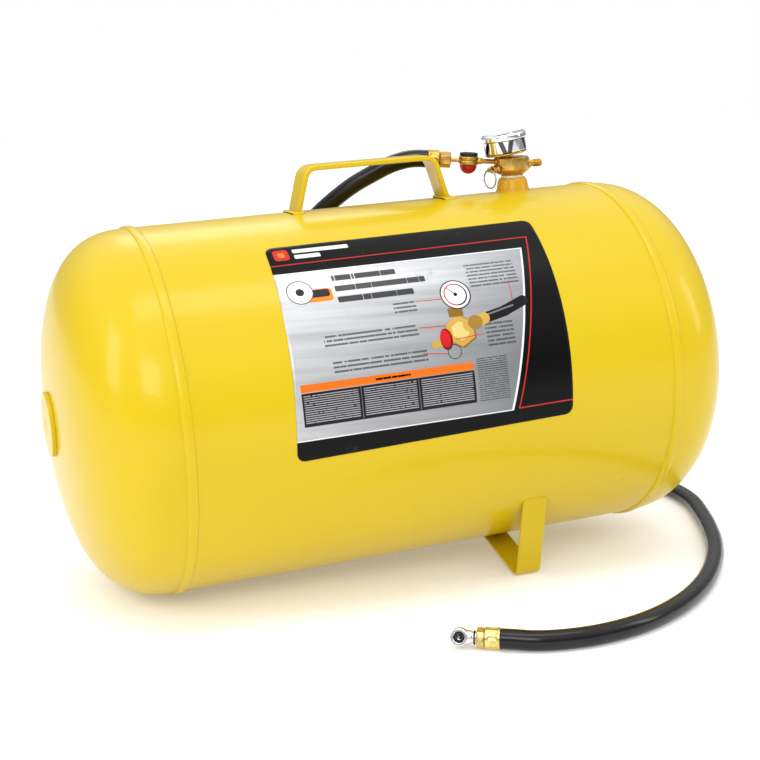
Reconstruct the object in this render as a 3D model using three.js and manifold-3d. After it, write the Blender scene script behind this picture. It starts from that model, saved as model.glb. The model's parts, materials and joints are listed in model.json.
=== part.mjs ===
// A portable air receiver: a welded steel tank with a carry handle, two strap feet, a brass manifold
// that holds a gauge, a relief valve and a fill valve, and a hose with a tyre chuck.
// Millimetres, +Z up, +X along the tank to its right end. The origin is on the floor, under the middle
// of the tank, which rests on its left weld bead and its two feet.
import * as THREE from 'three';
import { mergeVertices } from 'three/addons/utils/BufferGeometryUtils.js';
import Module from 'manifold-3d';

const wasm = await Module();
wasm.setup();

// Driving dimensions.

const gap = 0.3; // left between two pieces that touch
const running = 0.4; // radial clearance of a piece that turns or slides in another

const tank = { radius: 157, wall: 2, length: 429, headDepth: 82.7, headFullness: 2.6, sides: 48 };
const bead = { width: 8.8, height: 2, seamWidth: 6, seamHeight: 1, seamAngle: 40 };
const pad = { radius: 27.5, thickness: 3.5 };
const handle = { baseSpan: 142, topSpan: 118, rise: 39.5, width: 25.7, thickness: 4.5, bend: 9 };
const foot = { station: 78.3, width: 22.7, thickness: 3, bend: 7 };
const label = { left: -124, right: 115, lean: 12, low: -8, high: 61, thickness: 0.5 };

const bung = { station: 139.5, baseRadius: 15, topRadius: 12.2, top: tank.radius + 12.6, bore: 8.8, spigot: 11.5 };
const tape = { thickness: 1.4, radius: 10 };
const block = { flats: 29.6, neckRadius: 11, taper: 4.5, height: 16.6, sides: 8, shank: 8.5, bore: 3 };
const ports = { outlet: 11.2, outletAzimuth: 160, outletRise: 6, relief: 6.6, reliefAzimuth: 195, fill: 9 };

const gauge = {
  radius: 20.3, height: 19.2, lean: 7, rise: 2.6, offset: 5, wall: 1, stem: 4, lens: 1.6,
  boss: 7.5, bossDepth: 1.4,
};
const relief = { radius: 3.6, length: 7, bore: 2.5, stem: 0.9, eye: 2.4, wire: 0.7, ring: 8.2 };
const fill = { radius: 3.5, length: 14, bore: 1.9, pin: 0.8, tail: 2.9 };
const cock = { distance: 39.3, radius: 9, height: 7.6, knob: 8, cap: 3.3, plug: 3, pipe: 2.2, bore: 1.2 };
const nut = { start: 55.5, length: 10.5, flats: 12.8, pipe: 1.8 };
const hose = { radius: 8, bore: 4, ferrule: 8.7, tankFerrule: 10.2, sides: 10, steps: 64 };
const chuck = {
  azimuth: 150, roll: 20, ferrule: 11.8, nut: 6.4, nutFlats: 14.4, neck: 4.6, reach: 12.6,
  ball: 7.6, mouth: 6.8, face: 9.6, throat: 4.2, seal: 3, bore: 1.6, pin: 1.1,
};

// The hose's middle line, from the tank's ferrule, over the back of the tank, round behind it on the
// floor and back to the chuck in front.
const hosePoints = [
  [60.6, 26.2, 362.6], [52.2, 29.2, 363.1], [43.6, 32.9, 362.4], [31, 42, 358], [18, 55, 349.5],
  [4, 69.5, 339], [-9, 84.5, 326], [-22, 101, 310], [-33, 118, 291], [-42, 135, 267],
  [-48, 150, 240], [-50, 161, 210], [-48, 167.5, 178], [-36, 174, 116], [-26, 178, 86],
  [-12, 184, 58], [7, 191, 34], [32, 200, 17], [62, 209, 9.4], [98, 216, 8.4],
  [146, 219, 8.1], [196, 215, 8.1], [243, 201, 8.1], [286, 177, 8.1], [320, 143, 8.1],
  [341, 102, 8.1], [349, 62, 8.1], [343, 18, 8.1], [329, -20, 8.1], [309, -66, 8.1],
  [284, -114, 8.1], [252, -161, 8.1], [214, -204, 8.1], [168, -241, 8.1], [120, -265, 8.1],
  [76, -274, 8.1], [44, -272, 8.1], [24, -266.3, 8.3], [11, -259, 8.7], [2.1, -253.9, 8.8],
];

// Colours, roughness and metalness.

const finishes = {
  paint: { color: 0xf0d21e, roughness: 0.22, metalness: 0 },
  brass: { color: 0xc9a24a, roughness: 0.3, metalness: 1 },
  chrome: { color: 0xd8dade, roughness: 0.08, metalness: 1 },
  steel: { color: 0x8d8f92, roughness: 0.35, metalness: 1 },
  rubber: { color: 0x16171a, roughness: 0.3, metalness: 0 },
  red: { color: 0xb3121f, roughness: 0.25, metalness: 0 },
  black: { color: 0x141414, roughness: 0.5, metalness: 0 },
  white: { color: 0xeeeeea, roughness: 0.6, metalness: 0 },
  glass: { color: 0xffffff, roughness: 0.05, metalness: 0 },
};

// Solids, shapes and small helpers.

const rad = THREE.MathUtils.degToRad;

function mesh(name, geometry, finish) {
  const made = new THREE.Mesh(geometry, new THREE.MeshStandardMaterial(finishes[finish]));
  made.name = name;
  return made;
}

function solidOf(geometry) {
  const bare = new THREE.BufferGeometry().setAttribute('position', geometry.getAttribute('position'));
  if (geometry.index) bare.setIndex(geometry.index);
  const merged = mergeVertices(bare, 1e-4);
  const vertProperties = merged.attributes.position.array;
  const triVerts = Uint32Array.from(merged.index.array);
  return new wasm.Manifold(new wasm.Mesh({ numProp: 3, vertProperties, triVerts }));
}

function geometryOf(solid) {
  const { vertProperties, triVerts } = solid.getMesh();
  const geometry = new THREE.BufferGeometry();
  geometry.setAttribute('position', new THREE.BufferAttribute(vertProperties, 3));
  geometry.setIndex(new THREE.BufferAttribute(triVerts, 1));
  geometry.computeVertexNormals();
  return geometry;
}

function cut(body, ...tools) {
  return geometryOf(tools.reduce((left, tool) => left.subtract(solidOf(tool)), solidOf(body)));
}

function join(body, ...others) {
  return geometryOf(others.reduce((sum, other) => sum.add(solidOf(other)), solidOf(body)));
}

// A profile of [radius, height] pairs turned about +Z: its outside runs upwards.
function turned(profile, sides) {
  const points = profile.map(([radius, height]) => new THREE.Vector2(radius, height));
  return new THREE.LatheGeometry(points, sides).rotateX(Math.PI / 2);
}

// A ring or tube about +Z between two heights.
function ring(inner, outer, low, high, sides) {
  return turned([[inner, low], [outer, low], [outer, high], [inner, high], [inner, low]], sides);
}

function rod(radius, low, high, sides) {
  return turned([[0, low], [radius, low], [radius, high], [0, high]], sides);
}

// A hexagonal or octagonal bar about +Z, measured across its flats.
function flatSided(flats, low, high, sides) {
  const corner = flats / 2 / Math.cos(Math.PI / sides);
  return rod(corner, low, high, sides).rotateZ(Math.PI / sides);
}

const alongX = (geometry) => geometry.rotateY(Math.PI / 2);

function drawn(shape, depth) {
  return new THREE.ExtrudeGeometry(shape, { depth, bevelEnabled: false, curveSegments: 8 });
}

// An outline in Y and Z drawn out along +X, and one in X and Z drawn out across the tank.
function drawnAlongX(shape, start, length) {
  const basis = new THREE.Matrix4().makeBasis(
    new THREE.Vector3(0, 1, 0), new THREE.Vector3(0, 0, 1), new THREE.Vector3(1, 0, 0));
  return drawn(shape, length).applyMatrix4(basis).translate(start, 0, 0);
}

function drawnAcross(shape, width) {
  return drawn(shape, width).rotateX(Math.PI / 2).translate(0, width / 2, 0);
}

// The middle line of a bent bar: straight runs with a round bend at each inner corner.
function bentLine(corners, bend, steps) {
  const path = new THREE.Path();
  path.moveTo(corners[0].x, corners[0].y);
  for (let i = 1; i < corners.length - 1; i += 1) {
    const corner = corners[i];
    const towards = (other) => corner.clone().add(other.clone().sub(corner).setLength(bend));
    const before = towards(corners[i - 1]);
    const after = towards(corners[i + 1]);
    path.lineTo(before.x, before.y);
    path.quadraticCurveTo(corner.x, corner.y, after.x, after.y);
  }
  path.lineTo(corners.at(-1).x, corners.at(-1).y);
  return path.getPoints(steps);
}

// The outline of a flat bar seen on its edge, half its thickness to each side of its middle line.
function barOutline(line, thickness) {
  const side = (sign) => line.map((point, i) => {
    const back = line[Math.max(i - 1, 0)];
    const ahead = line[Math.min(i + 1, line.length - 1)];
    const along = ahead.clone().sub(back).normalize();
    return new THREE.Vector2(-along.y, along.x).multiplyScalar(sign * thickness / 2).add(point);
  });
  return [...side(1), ...side(-1).reverse()];
}

const points = (pairs) => pairs.map(([x, y]) => new THREE.Vector2(x, y));

// The tank's outer round, widened by a clearance, that trims whatever is welded on it.
function tankRound(clearance) {
  return alongX(rod(tank.radius + clearance, -tank.length / 2, tank.length / 2, tank.sides));
}

// The welded tank.

// One dished head as a bowl about +Z with its rim at zero: a full ellipse outside and inside.
function dish() {
  const turns = 9;
  const curve = (radius, depth, count) => Array.from({ length: count + 1 }, (unused, i) => {
    const angle = (i / count) * (Math.PI / 2);
    return [
      i === count ? 0 : radius * Math.cos(angle) ** (2 / tank.headFullness),
      depth * Math.sin(angle) ** (2 / tank.headFullness),
    ];
  });
  const outside = curve(tank.radius, tank.headDepth, turns);
  const inside = curve(tank.radius - tank.wall, tank.headDepth - tank.wall, turns - 2);
  return turned([...outside, ...inside.reverse(), outside[0]], tank.sides);
}

function makeShell() {
  const half = tank.length / 2;
  const tube = alongX(ring(tank.radius - tank.wall, tank.radius, -half, half, tank.sides));
  const hole = rod(bung.spigot + gap, 0, tank.radius + bead.height, 24).translate(bung.station, 0, 0);
  return mesh('shell', cut(tube, hole), 'paint');
}

function makeHeads() {
  const right = alongX(dish()).translate(tank.length / 2 + gap, 0, 0);
  const left = alongX(dish()).rotateZ(Math.PI).translate(-tank.length / 2 - gap, 0, 0);
  return [mesh('right_head', right, 'paint'), mesh('left_head', left, 'paint')];
}

function girthBead(name, side) {
  const inner = tank.radius + gap;
  const crest = tank.radius + bead.height;
  const shoulder = tank.radius + bead.height * 0.8;
  const half = bead.width / 2;
  const slope = half * 0.55;
  const profile = [
    [inner, -half], [shoulder, -slope], [crest, 0], [shoulder, slope], [inner, half], [inner, -half],
  ];
  const middle = side * (tank.length / 2 + gap / 2);
  return mesh(name, alongX(turned(profile, tank.sides)).translate(middle, 0, 0), 'paint');
}

// The lengthwise seam of the rolled shell, low on the back.
function makeSeam() {
  const radius = tank.radius + gap;
  const half = bead.seamWidth / 2;
  const outline = new THREE.Shape(points([
    [-half, -radius], [-half * 0.5, -radius - bead.seamHeight],
    [half * 0.5, -radius - bead.seamHeight], [half, -radius],
  ]));
  const length = tank.length - bead.width - 2 * gap;
  const bar = drawnAlongX(outline, -length / 2, length).rotateX(rad(bead.seamAngle));
  return mesh('seam_weld', cut(bar, tankRound(gap)), 'paint');
}

// The round pad in the middle of the left head, which is almost flat there.
function makePad() {
  const crown = tank.length / 2 + gap + tank.headDepth;
  const profile = [
    [0, crown + gap], [pad.radius, crown + gap], [pad.radius, crown + pad.thickness - 0.8],
    [pad.radius - 0.8, crown + pad.thickness], [0, crown + pad.thickness],
  ];
  return mesh('end_pad', alongX(turned(profile, 40)).rotateZ(Math.PI), 'paint');
}

// The carry handle, a flat bar bent over the middle of the tank, and the welds at its feet.

function handleCorners() {
  const base = tank.radius - handle.thickness;
  const top = tank.radius + handle.rise - handle.thickness / 2;
  const foot = handle.baseSpan / 2;
  const shoulder = handle.topSpan / 2;
  return points([[-foot, base], [-shoulder, top], [shoulder, top], [foot, base]]);
}

function makeHandle() {
  const outline = new THREE.Shape(barOutline(bentLine(handleCorners(), handle.bend, 5), handle.thickness));
  return mesh('handle', cut(drawnAcross(outline, handle.width), tankRound(gap)), 'paint');
}

function handleWeld(name, side) {
  const legX = side * handle.baseSpan / 2;
  const run = 4;
  const height = 2.4;
  const outer = new THREE.BoxGeometry(handle.thickness + 2 * run, handle.width + 2 * run, 2 * run);
  outer.translate(legX, 0, tank.radius);
  const line = bentLine(handleCorners(), handle.bend, 5);
  const outline = new THREE.Shape(barOutline(line, handle.thickness + 2 * gap));
  const leg = drawnAcross(outline, handle.width + 2 * gap);
  const low = tank.radius - 2 * run;
  const high = tank.radius + height;
  const slab = new THREE.BoxGeometry(2 * handle.width, 3 * handle.width, high - low);
  const kept = solidOf(outer).intersect(solidOf(slab.translate(legX, 0, (high + low) / 2)));
  return mesh(name, geometryOf(kept.subtract(solidOf(leg)).subtract(solidOf(tankRound(gap)))), 'paint');
}

// A strap foot bent to a V under each side of the tank: its tall leg is welded low on the side, and its
// sole rises to the underside of the tank.

// The corners of its middle line, as shares of the tank's radius.
const footCorners = [[-0.78217, -0.62357], [-0.64331, -1.09936], [-0.19745, -0.9758]];

function footOutline() {
  const corners = points(footCorners).map((corner) => corner.multiplyScalar(tank.radius));
  return barOutline(bentLine(corners, foot.bend, 5), foot.thickness);
}

function makeFoot(name, side) {
  const strap = cut(drawnAlongX(new THREE.Shape(footOutline()), foot.station, foot.width), tankRound(gap));
  return mesh(name, side < 0 ? strap : geometryOf(solidOf(strap).mirror([0, 1, 0])), 'paint');
}

// The sticker on the front of the shell, wrapped round it between two heights.
function makeLabel() {
  const steps = 20;
  const inner = tank.radius + gap;
  const arc = (radius) => Array.from({ length: steps + 1 }, (unused, i) => {
    const angle = rad(THREE.MathUtils.lerp(label.low, label.high, i / steps));
    return new THREE.Vector2(-radius * Math.cos(angle), radius * Math.sin(angle));
  });
  const outline = new THREE.Shape([...arc(inner), ...arc(inner + label.thickness).reverse()]);
  const sheet = drawnAlongX(outline, label.left, label.right - label.left);
  const place = sheet.getAttribute('position');
  for (let i = 0; i < place.count; i += 1) {
    const angle = Math.atan2(place.getZ(i), -place.getY(i));
    const height = THREE.MathUtils.inverseLerp(rad(label.low), rad(label.high), angle);
    if (place.getX(i) < 0) place.setX(i, label.left + label.lean * (height - 0.5));
  }
  return mesh('label', sheet, 'black');
}

// The brass fittings on top.

function makeBung() {
  const depth = 12;
  const foundation = tank.radius - depth;
  const outer = turned([
    [0, foundation], [bung.baseRadius, foundation], [bung.baseRadius, tank.radius + 1],
    [bung.topRadius + 0.8, bung.top - 2.4], [bung.topRadius - 1, bung.top], [0, bung.top],
  ], 32);
  const spigot = rod(bung.spigot, tank.radius - 3 * tank.wall, tank.radius + 4, 24);
  const place = (geometry) => geometry.translate(bung.station, 0, 0);
  const above = solidOf(place(outer)).subtract(solidOf(tankRound(gap)));
  const bored = above.add(solidOf(place(spigot)))
    .subtract(solidOf(place(rod(bung.bore, foundation, bung.top + 1, 32))));
  return mesh('bung', geometryOf(bored), 'paint');
}

// The manifold block stands on the bung. The heights in its group count from the bottom of the block.
const blockFloor = bung.top + tape.thickness + 2 * gap;
const blockCorner = block.flats / 2 / Math.cos(Math.PI / block.sides);

// Turns a piece about +Z into one that leaves the block at an azimuth, a height and a rise.
function placePort(group, azimuth, height, rise = 0) {
  group.position.set(bung.station, 0, blockFloor + height);
  group.rotation.set(0, 0, rad(azimuth), 'ZYX');
  group.rotation.y = rad(-rise);
  return group;
}

function portCut(radius, azimuth, height, rise = 0) {
  const group = placePort(new THREE.Group(), azimuth, height, rise);
  group.updateMatrix();
  return alongX(rod(radius, 0, block.flats, 16)).applyMatrix4(group.matrix);
}

function gaugeGroup() {
  const group = new THREE.Group();
  group.position.set(bung.station - gauge.offset, 0, blockFloor + block.height + gauge.rise);
  group.rotation.y = rad(-gauge.lean);
  return group;
}

function makeBlock() {
  const body = turned([
    [0, 0], [block.neckRadius, 0], [blockCorner, block.taper], [blockCorner, block.height - 1],
    [blockCorner - 1, block.height], [0, block.height],
  ], block.sides).rotateZ(Math.PI / block.sides);
  const shankEnd = -tape.thickness - 11;
  const shank = rod(block.shank, shankEnd, 1, 32);
  const bore = rod(block.bore, shankEnd - 1, block.height - 4, 16);
  const place = (geometry) => geometry.translate(bung.station, 0, blockFloor);
  const seat = gaugeGroup();
  seat.updateMatrix();
  const gaugePort = rod(gauge.stem + gap, -9, 6, 24).applyMatrix4(seat.matrix);
  return mesh('manifold_block', cut(
    join(place(body), place(shank)), place(bore), gaugePort,
    portCut(cock.pipe + gap, ports.outletAzimuth, ports.outlet, ports.outletRise),
    portCut(relief.radius - 0.8 + gap, ports.reliefAzimuth, ports.relief),
    portCut(fill.tail + gap, 0, ports.fill),
  ), 'brass');
}

function makeTape() {
  const low = bung.top + gap;
  return mesh('thread_tape',
    ring(block.shank + gap, tape.radius, low, low + tape.thickness, 32).translate(bung.station, 0, 0), 'white');
}

// The gauge: a chrome drum with its face up. Heights count from the bottom of its brass back plate.
function makeGauge() {
  const group = gaugeGroup();
  const drum = gauge.radius - 1.3;
  const inside = drum - gauge.wall;
  const back = 1.8;
  const floor = back + gap;
  const rim = gauge.height - 3.4;
  const dial = rim - 3.4;
  const post = floor + gauge.wall + 4;
  const sides = 40;
  const { boss, bossDepth } = gauge;
  const bore = gauge.stem + gap;
  group.add(mesh('gauge_back', turned([
    [bore, -bossDepth], [boss, -bossDepth], [boss, 0], [drum, 0], [drum, back], [bore, back],
    [bore, -bossDepth],
  ], sides), 'brass'));
  group.add(mesh('gauge_case', turned([
    [3.6, floor], [drum, floor], [drum, rim], [inside, rim], [inside, floor + gauge.wall],
    [3.6, floor + gauge.wall], [3.6, floor],
  ], sides), 'chrome'));
  const stem = turned([
    [1, -7], [gauge.stem, -7], [gauge.stem, back], [3.3, back], [3.3, post], [1, post], [1, -7],
  ], 24);
  group.add(mesh('gauge_stem', stem, 'brass'));
  group.add(mesh('bourdon_tube', bourdonTube(inside - 3, floor + gauge.wall + 2.2), 'brass'));
  group.add(...makeMovement(post, dial));
  group.add(mesh('gauge_dial', ring(1.4, inside - gap, dial, dial + 0.8, sides), 'white'));
  group.add(mesh('gauge_lens', rod(inside - gap, rim - gauge.lens, rim, sides), 'glass'));
  const lip = inside - 1.4;
  const { radius, height } = gauge;
  group.add(mesh('gauge_bezel', turned([
    [lip, rim + gap], [drum + gap, rim + gap], [drum + gap, rim - 2], [radius, rim - 2],
    [radius, height - 1.6], [radius - 0.6, height - 0.4], [radius - 1.6, height],
    [lip + 1, height - 0.8], [lip, rim + gap],
  ], sides), 'chrome'));
  return group;
}

// The C-shaped pressure tube that opens out as the pressure rises.
function bourdonTube(radius, height) {
  const arc = new THREE.CatmullRomCurve3(Array.from({ length: 19 }, (unused, i) => {
    const angle = rad(-60 + i * 15);
    return new THREE.Vector3(radius * Math.cos(angle), radius * Math.sin(angle), height);
  }));
  const wire = 1.1;
  const section = new THREE.Shape().absellipse(0, 0, wire, wire, 0, 2 * Math.PI);
  return new THREE.ExtrudeGeometry(section, {
    extrudePath: arc, steps: 24, bevelEnabled: false, curveSegments: 4,
  });
}

// The movement: a sector that the pressure tube pulls round, the spindle that it turns, and the pointer.
const movement = {
  pinion: 1.5, centres: 7.5, sweep: 82, spare: 6, thickness: 1, axle: 0.7, blade: 0.5, zero: 225,
};

function makeMovement(post, dial) {
  const low = post + 0.6;
  const high = low + movement.thickness;
  const { pinion, axle } = movement;
  const spindle = join(rod(pinion, low, high, 12), rod(axle, low, dial + 1.5, 12));
  const reach = movement.centres - pinion - gap;
  const fan = new THREE.Shape();
  fan.moveTo(-2, 0);
  fan.absarc(0, 0, 2, Math.PI, 1.5 * Math.PI, false);
  fan.absarc(0, 0, reach, rad(-movement.sweep), rad(movement.spare), false);
  fan.absarc(0, 0, 2, Math.PI / 2, Math.PI, false);
  const sector = drawn(fan, movement.thickness);
  sector.rotateZ(Math.PI / 2).translate(0, -movement.centres, low);
  const tip = (gauge.radius - 2.3) * 0.72;
  const outline = [[0, 1.1], [-5, 0.8], [-5, -0.8], [0, -1.1], [tip, -0.25], [tip, 0.25]];
  const blade = drawn(new THREE.Shape(points(outline)), movement.blade).rotateZ(rad(movement.zero));
  const hub = rod(2, 0, movement.blade, 16);
  const needle = cut(join(blade, hub), rod(axle + 0.2, -1, 2, 12));
  return [
    mesh('gauge_spindle', spindle, 'brass'),
    mesh('gauge_sector', sector, 'brass'),
    mesh('gauge_needle', needle.translate(0, 0, dial + 1.1), 'black'),
  ];
}

// The relief valve: a barrel with a sprung stem and a pull ring that hangs from the stem's eye.
function makeRelief() {
  const group = placePort(new THREE.Group(), ports.reliefAzimuth, ports.relief);
  const face = blockCorner + gap;
  const tail = face - 5;
  const end = face + relief.length;
  const eye = end + 2.8;
  const tailRadius = relief.radius - 0.8;
  const barrel = turned([
    [1.6, tail], [tailRadius, tail], [tailRadius, face], [relief.radius, face], [relief.radius, end],
    [relief.stem + running, end], [relief.stem + running, end - 1], [relief.bore, end - 1],
    [relief.bore, tail + 1], [1.6, tail + 1], [1.6, tail],
  ], 20);
  group.add(mesh('relief_barrel', alongX(barrel), 'brass'));
  const valve = join(rod(relief.stem, tail + 1.6, eye, 12), rod(2.1, tail + 1.4, tail + 2.4, 16));
  const eyeDisc = rod(relief.eye, -0.8, 0.8, 16).rotateX(Math.PI / 2).translate(0, 0, eye);
  const eyeHole = rod(relief.wire + 0.5, -2, 2, 12).rotateX(Math.PI / 2).translate(0, 0, eye);
  group.add(mesh('relief_stem', alongX(cut(join(valve, eyeDisc), eyeHole)), 'brass'));
  group.add(mesh('relief_spring', alongX(coilSpring(1.7, 0.3, tail + 2.8, end - 1.4, 4)), 'steel'));
  const loop = new THREE.TorusGeometry(relief.ring, relief.wire, 8, 28).rotateY(Math.PI / 2);
  group.add(mesh('relief_ring', loop.translate(eye, 0, -relief.ring), 'steel'));
  return group;
}

// A coil spring about +Z, from one height to another.
function coilSpring(radius, wire, low, high, coils) {
  const perTurn = 10;
  const count = coils * perTurn;
  const line = Array.from({ length: count + 1 }, (unused, i) => {
    const angle = (i / perTurn) * 2 * Math.PI;
    const height = THREE.MathUtils.lerp(low + wire, high - wire, i / count);
    return new THREE.Vector3(radius * Math.cos(angle), radius * Math.sin(angle), height);
  });
  const section = new THREE.Shape().absellipse(0, 0, wire, wire, 0, 2 * Math.PI);
  return new THREE.ExtrudeGeometry(section, {
    extrudePath: new THREE.CatmullRomCurve3(line), steps: count, bevelEnabled: false, curveSegments: 3,
  });
}

// The tyre-type fill valve on the right of the block.
function makeFill() {
  const group = placePort(new THREE.Group(), 0, ports.fill);
  const face = block.flats / 2 + 0.6;
  const tail = face - 5;
  const mouth = face + fill.length;
  const body = turned([
    [fill.bore, tail], [fill.tail, tail], [fill.tail, face], [fill.radius + 0.8, face],
    [fill.radius + 0.8, face + 2.6], [fill.radius - 0.7, face + 3.4], [fill.radius - 0.7, face + 7],
    [fill.radius, face + 7.6], [fill.radius, mouth - 0.4], [fill.radius - 0.4, mouth], [fill.bore, mouth],
    [fill.bore, tail],
  ], 24);
  group.add(mesh('fill_valve', alongX(body), 'brass'));
  const pin = join(rod(fill.pin, tail + 1, mouth - 0.5, 12), rod(fill.bore - running, tail + 3, tail + 5.5, 16));
  group.add(mesh('fill_pin', alongX(pin), 'brass'));
  return group;
}

// The outlet: a pipe to a plug cock with a red knob below it, then a tail pipe with the hose's swivel nut.
function makeOutlet() {
  const group = placePort(new THREE.Group(), ports.outletAzimuth, ports.outlet, ports.outletRise);
  const near = cock.distance - cock.radius;
  const far = cock.distance + cock.radius;
  const seatDepth = 3;
  const half = cock.height / 2;
  const centred = (geometry) => geometry.translate(cock.distance, 0, 0);
  group.add(mesh('outlet_pipe', alongX(ring(cock.bore, cock.pipe, 10, near + seatDepth - gap, 16)), 'brass'));
  const body = cut(
    centred(rod(cock.radius, -half, half, 36)),
    centred(rod(cock.plug + running, -half - 1, half + 1, 24)),
    alongX(rod(cock.bore, near - 2, far + 2, 16)),
    alongX(rod(cock.pipe + gap, near - 2, near + seatDepth, 16)),
    alongX(rod(nut.pipe + gap, far - seatDepth, far + 2, 16)),
  );
  group.add(mesh('cock_body', body, 'brass'));
  const plugFoot = -half - 4;
  const plug = cut(
    rod(cock.plug, plugFoot, half - gap, 24),
    alongX(rod(cock.bore, -2 * cock.plug, 2 * cock.plug, 16)),
  );
  group.add(mesh('cock_plug', centred(plug), 'brass'));
  const domeTop = -half - gap;
  const round = Array.from({ length: 7 }, (unused, i) => {
    const angle = (i / 6) * (Math.PI / 2);
    return [cock.knob * Math.sin(angle), domeTop - cock.knob * Math.cos(angle)];
  });
  const knob = turned([
    ...round, [cock.plug + gap, domeTop], [cock.plug + gap, plugFoot - gap], [0, plugFoot - gap],
  ], 32);
  group.add(mesh('cock_knob', centred(knob), 'red'));
  const capLow = half + gap;
  const cap = turned([
    [0, capLow], [cock.radius - 0.7, capLow], [cock.radius - 0.7, capLow + cock.cap - 0.6],
    [cock.radius - 1.4, capLow + cock.cap], [0, capLow + cock.cap],
  ], 32);
  group.add(mesh('cock_cap', centred(cap), 'black'));
  group.add(...makeSwivel(far - seatDepth + gap));
  return group;
}

function makeSwivel(pipeStart) {
  const flange = 4.2;
  const end = nut.start + nut.length;
  const pipe = turned([
    [cock.bore, pipeStart], [nut.pipe, pipeStart], [nut.pipe, nut.start + 2.4], [flange, nut.start + 2.4],
    [flange, nut.start + 3.8], [cock.bore, nut.start + 3.8], [cock.bore, pipeStart],
  ], 20);
  const hexagon = cut(
    flatSided(nut.flats, nut.start, end, 6),
    rod(nut.pipe + running, nut.start - 1, end, 20),
    rod(flange + running, nut.start + 2, end + 1, 28),
  );
  return [mesh('outlet_tail', alongX(pipe), 'brass'), mesh('swivel_nut', alongX(hexagon), 'brass')];
}

// The crimped ferrule that holds the hose on the swivel. The hose starts at its mouth.
function makeTankFerrule() {
  const group = placePort(new THREE.Group(), ports.outletAzimuth, ports.outlet, ports.outletRise);
  const spigot = nut.start + 3.8 + gap;
  const start = nut.start + nut.length + gap;
  const mouth = start + hose.tankFerrule;
  const profile = [
    [2, spigot], [4.2, spigot], [4.2, start], [hose.ferrule - 1, start], [hose.ferrule, start + 1],
    [hose.ferrule, mouth], [2, mouth], [2, spigot],
  ];
  group.add(mesh('tank_ferrule', alongX(turned(profile, 28)), 'brass'));
  return group;
}

// The tank and everything fixed on it, tipped so that the left bead and both feet touch the floor.
function makeStand() {
  const stand = new THREE.Group();
  stand.add(makeShell(), ...makeHeads(), makePad());
  stand.add(girthBead('left_weld', -1), girthBead('right_weld', 1), makeSeam());
  stand.add(makeHandle(), handleWeld('handle_weld_left', -1), handleWeld('handle_weld_right', 1));
  stand.add(makeFoot('front_foot', -1), makeFoot('rear_foot', 1), makeLabel());
  stand.add(makeBung(), makeTape(), makeBlock(), makeGauge(), makeRelief(), makeFill(), makeOutlet());
  const footDrop = -Math.min(...footOutline().map((point) => point.y));
  const beadDrop = tank.radius + bead.height;
  stand.rotation.y = -Math.atan((footDrop - beadDrop) / (foot.station + tank.length / 2 + gap / 2));
  const box = new THREE.Box3().setFromObject(stand, true);
  const middle = box.getCenter(new THREE.Vector3());
  stand.position.set(-middle.x, -middle.y, -box.min.z);
  return stand;
}

// The hose and, on its end, the chuck that is pushed on a tyre's valve. They lie on the floor in front.

function makeHose() {
  const stations = hosePoints.map((place) => new THREE.Vector3(...place));
  const line = new THREE.CatmullRomCurve3(stations, false, 'centripetal');
  const section = new THREE.Shape(Array.from({ length: hose.sides }, (unused, i) => {
    const angle = (i / hose.sides) * 2 * Math.PI;
    return new THREE.Vector2(hose.radius * Math.cos(angle), hose.radius * Math.sin(angle));
  }));
  const tube = new THREE.ExtrudeGeometry(section, { extrudePath: line, steps: hose.steps, bevelEnabled: false });
  return mesh('hose', tube, 'rubber');
}

// The chuck's group runs along +X from the hose's end, with the mouth to its +Y side.
function makeChuck() {
  const group = new THREE.Group();
  group.position.set(...hosePoints.at(-1));
  group.rotation.set(rad(chuck.roll), 0, rad(chuck.azimuth), 'ZYX');
  const nutStart = gap + chuck.ferrule + gap;
  const nutEnd = nutStart + chuck.nut;
  const centre = nutEnd + gap + chuck.reach;
  const inner = 2;
  const ferrule = turned([
    [inner, gap], [hose.ferrule, gap], [hose.ferrule, gap + chuck.ferrule - 1],
    [hose.ferrule - 1, gap + chuck.ferrule], [inner, gap + chuck.ferrule], [inner, gap],
  ], 28);
  group.add(mesh('chuck_ferrule', alongX(ferrule), 'brass'));
  const hexagon = cut(flatSided(chuck.nutFlats, nutStart, nutEnd, 6), rod(inner, nutStart - 1, nutEnd + 1, 16));
  group.add(mesh('chuck_nut', alongX(hexagon), 'brass'));
  const across = (geometry) => geometry.rotateX(-Math.PI / 2).translate(centre, 0, 0);
  const neck = turned([
    [0, nutEnd + gap], [chuck.neck, nutEnd + gap], [chuck.neck, nutEnd + 3], [chuck.ball - 1.4, centre - 3],
    [chuck.ball - 1.4, centre], [0, centre],
  ], 24);
  const ball = new THREE.SphereGeometry(chuck.ball, 24, 16).translate(centre, 0, 0);
  const body = cut(
    join(alongX(neck), ball, across(rod(chuck.mouth, 0, chuck.face, 28))),
    alongX(rod(inner - 0.5, nutEnd - 1, centre, 12)),
    across(rod(chuck.bore, -3, chuck.face + 1, 16)),
    across(rod(chuck.throat, chuck.face - chuck.seal - 1, chuck.face + 1, 24)),
  );
  group.add(mesh('chuck_body', body, 'chrome'));
  const sealLow = chuck.face - chuck.seal - 1 + gap;
  const sealRing = ring(chuck.bore + 0.3, chuck.throat - gap, sealLow, sealLow + chuck.seal, 24);
  group.add(mesh('chuck_seal', across(sealRing), 'rubber'));
  const pin = rod(chuck.pin, -1, chuck.face - 1.6, 16);
  group.add(mesh('chuck_pin', across(pin), 'steel'));
  return group;
}

const receiver = new THREE.Group();
const stand = makeStand();
stand.add(makeTankFerrule());
receiver.add(stand, makeHose(), makeChuck());

export default receiver;
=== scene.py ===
"""A portable air receiver: a yellow welded tank with a sticker, brass fittings, a gauge and a hose."""

import json
import math

import bmesh
import bpy
from mathutils import Matrix, Vector, noise


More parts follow.
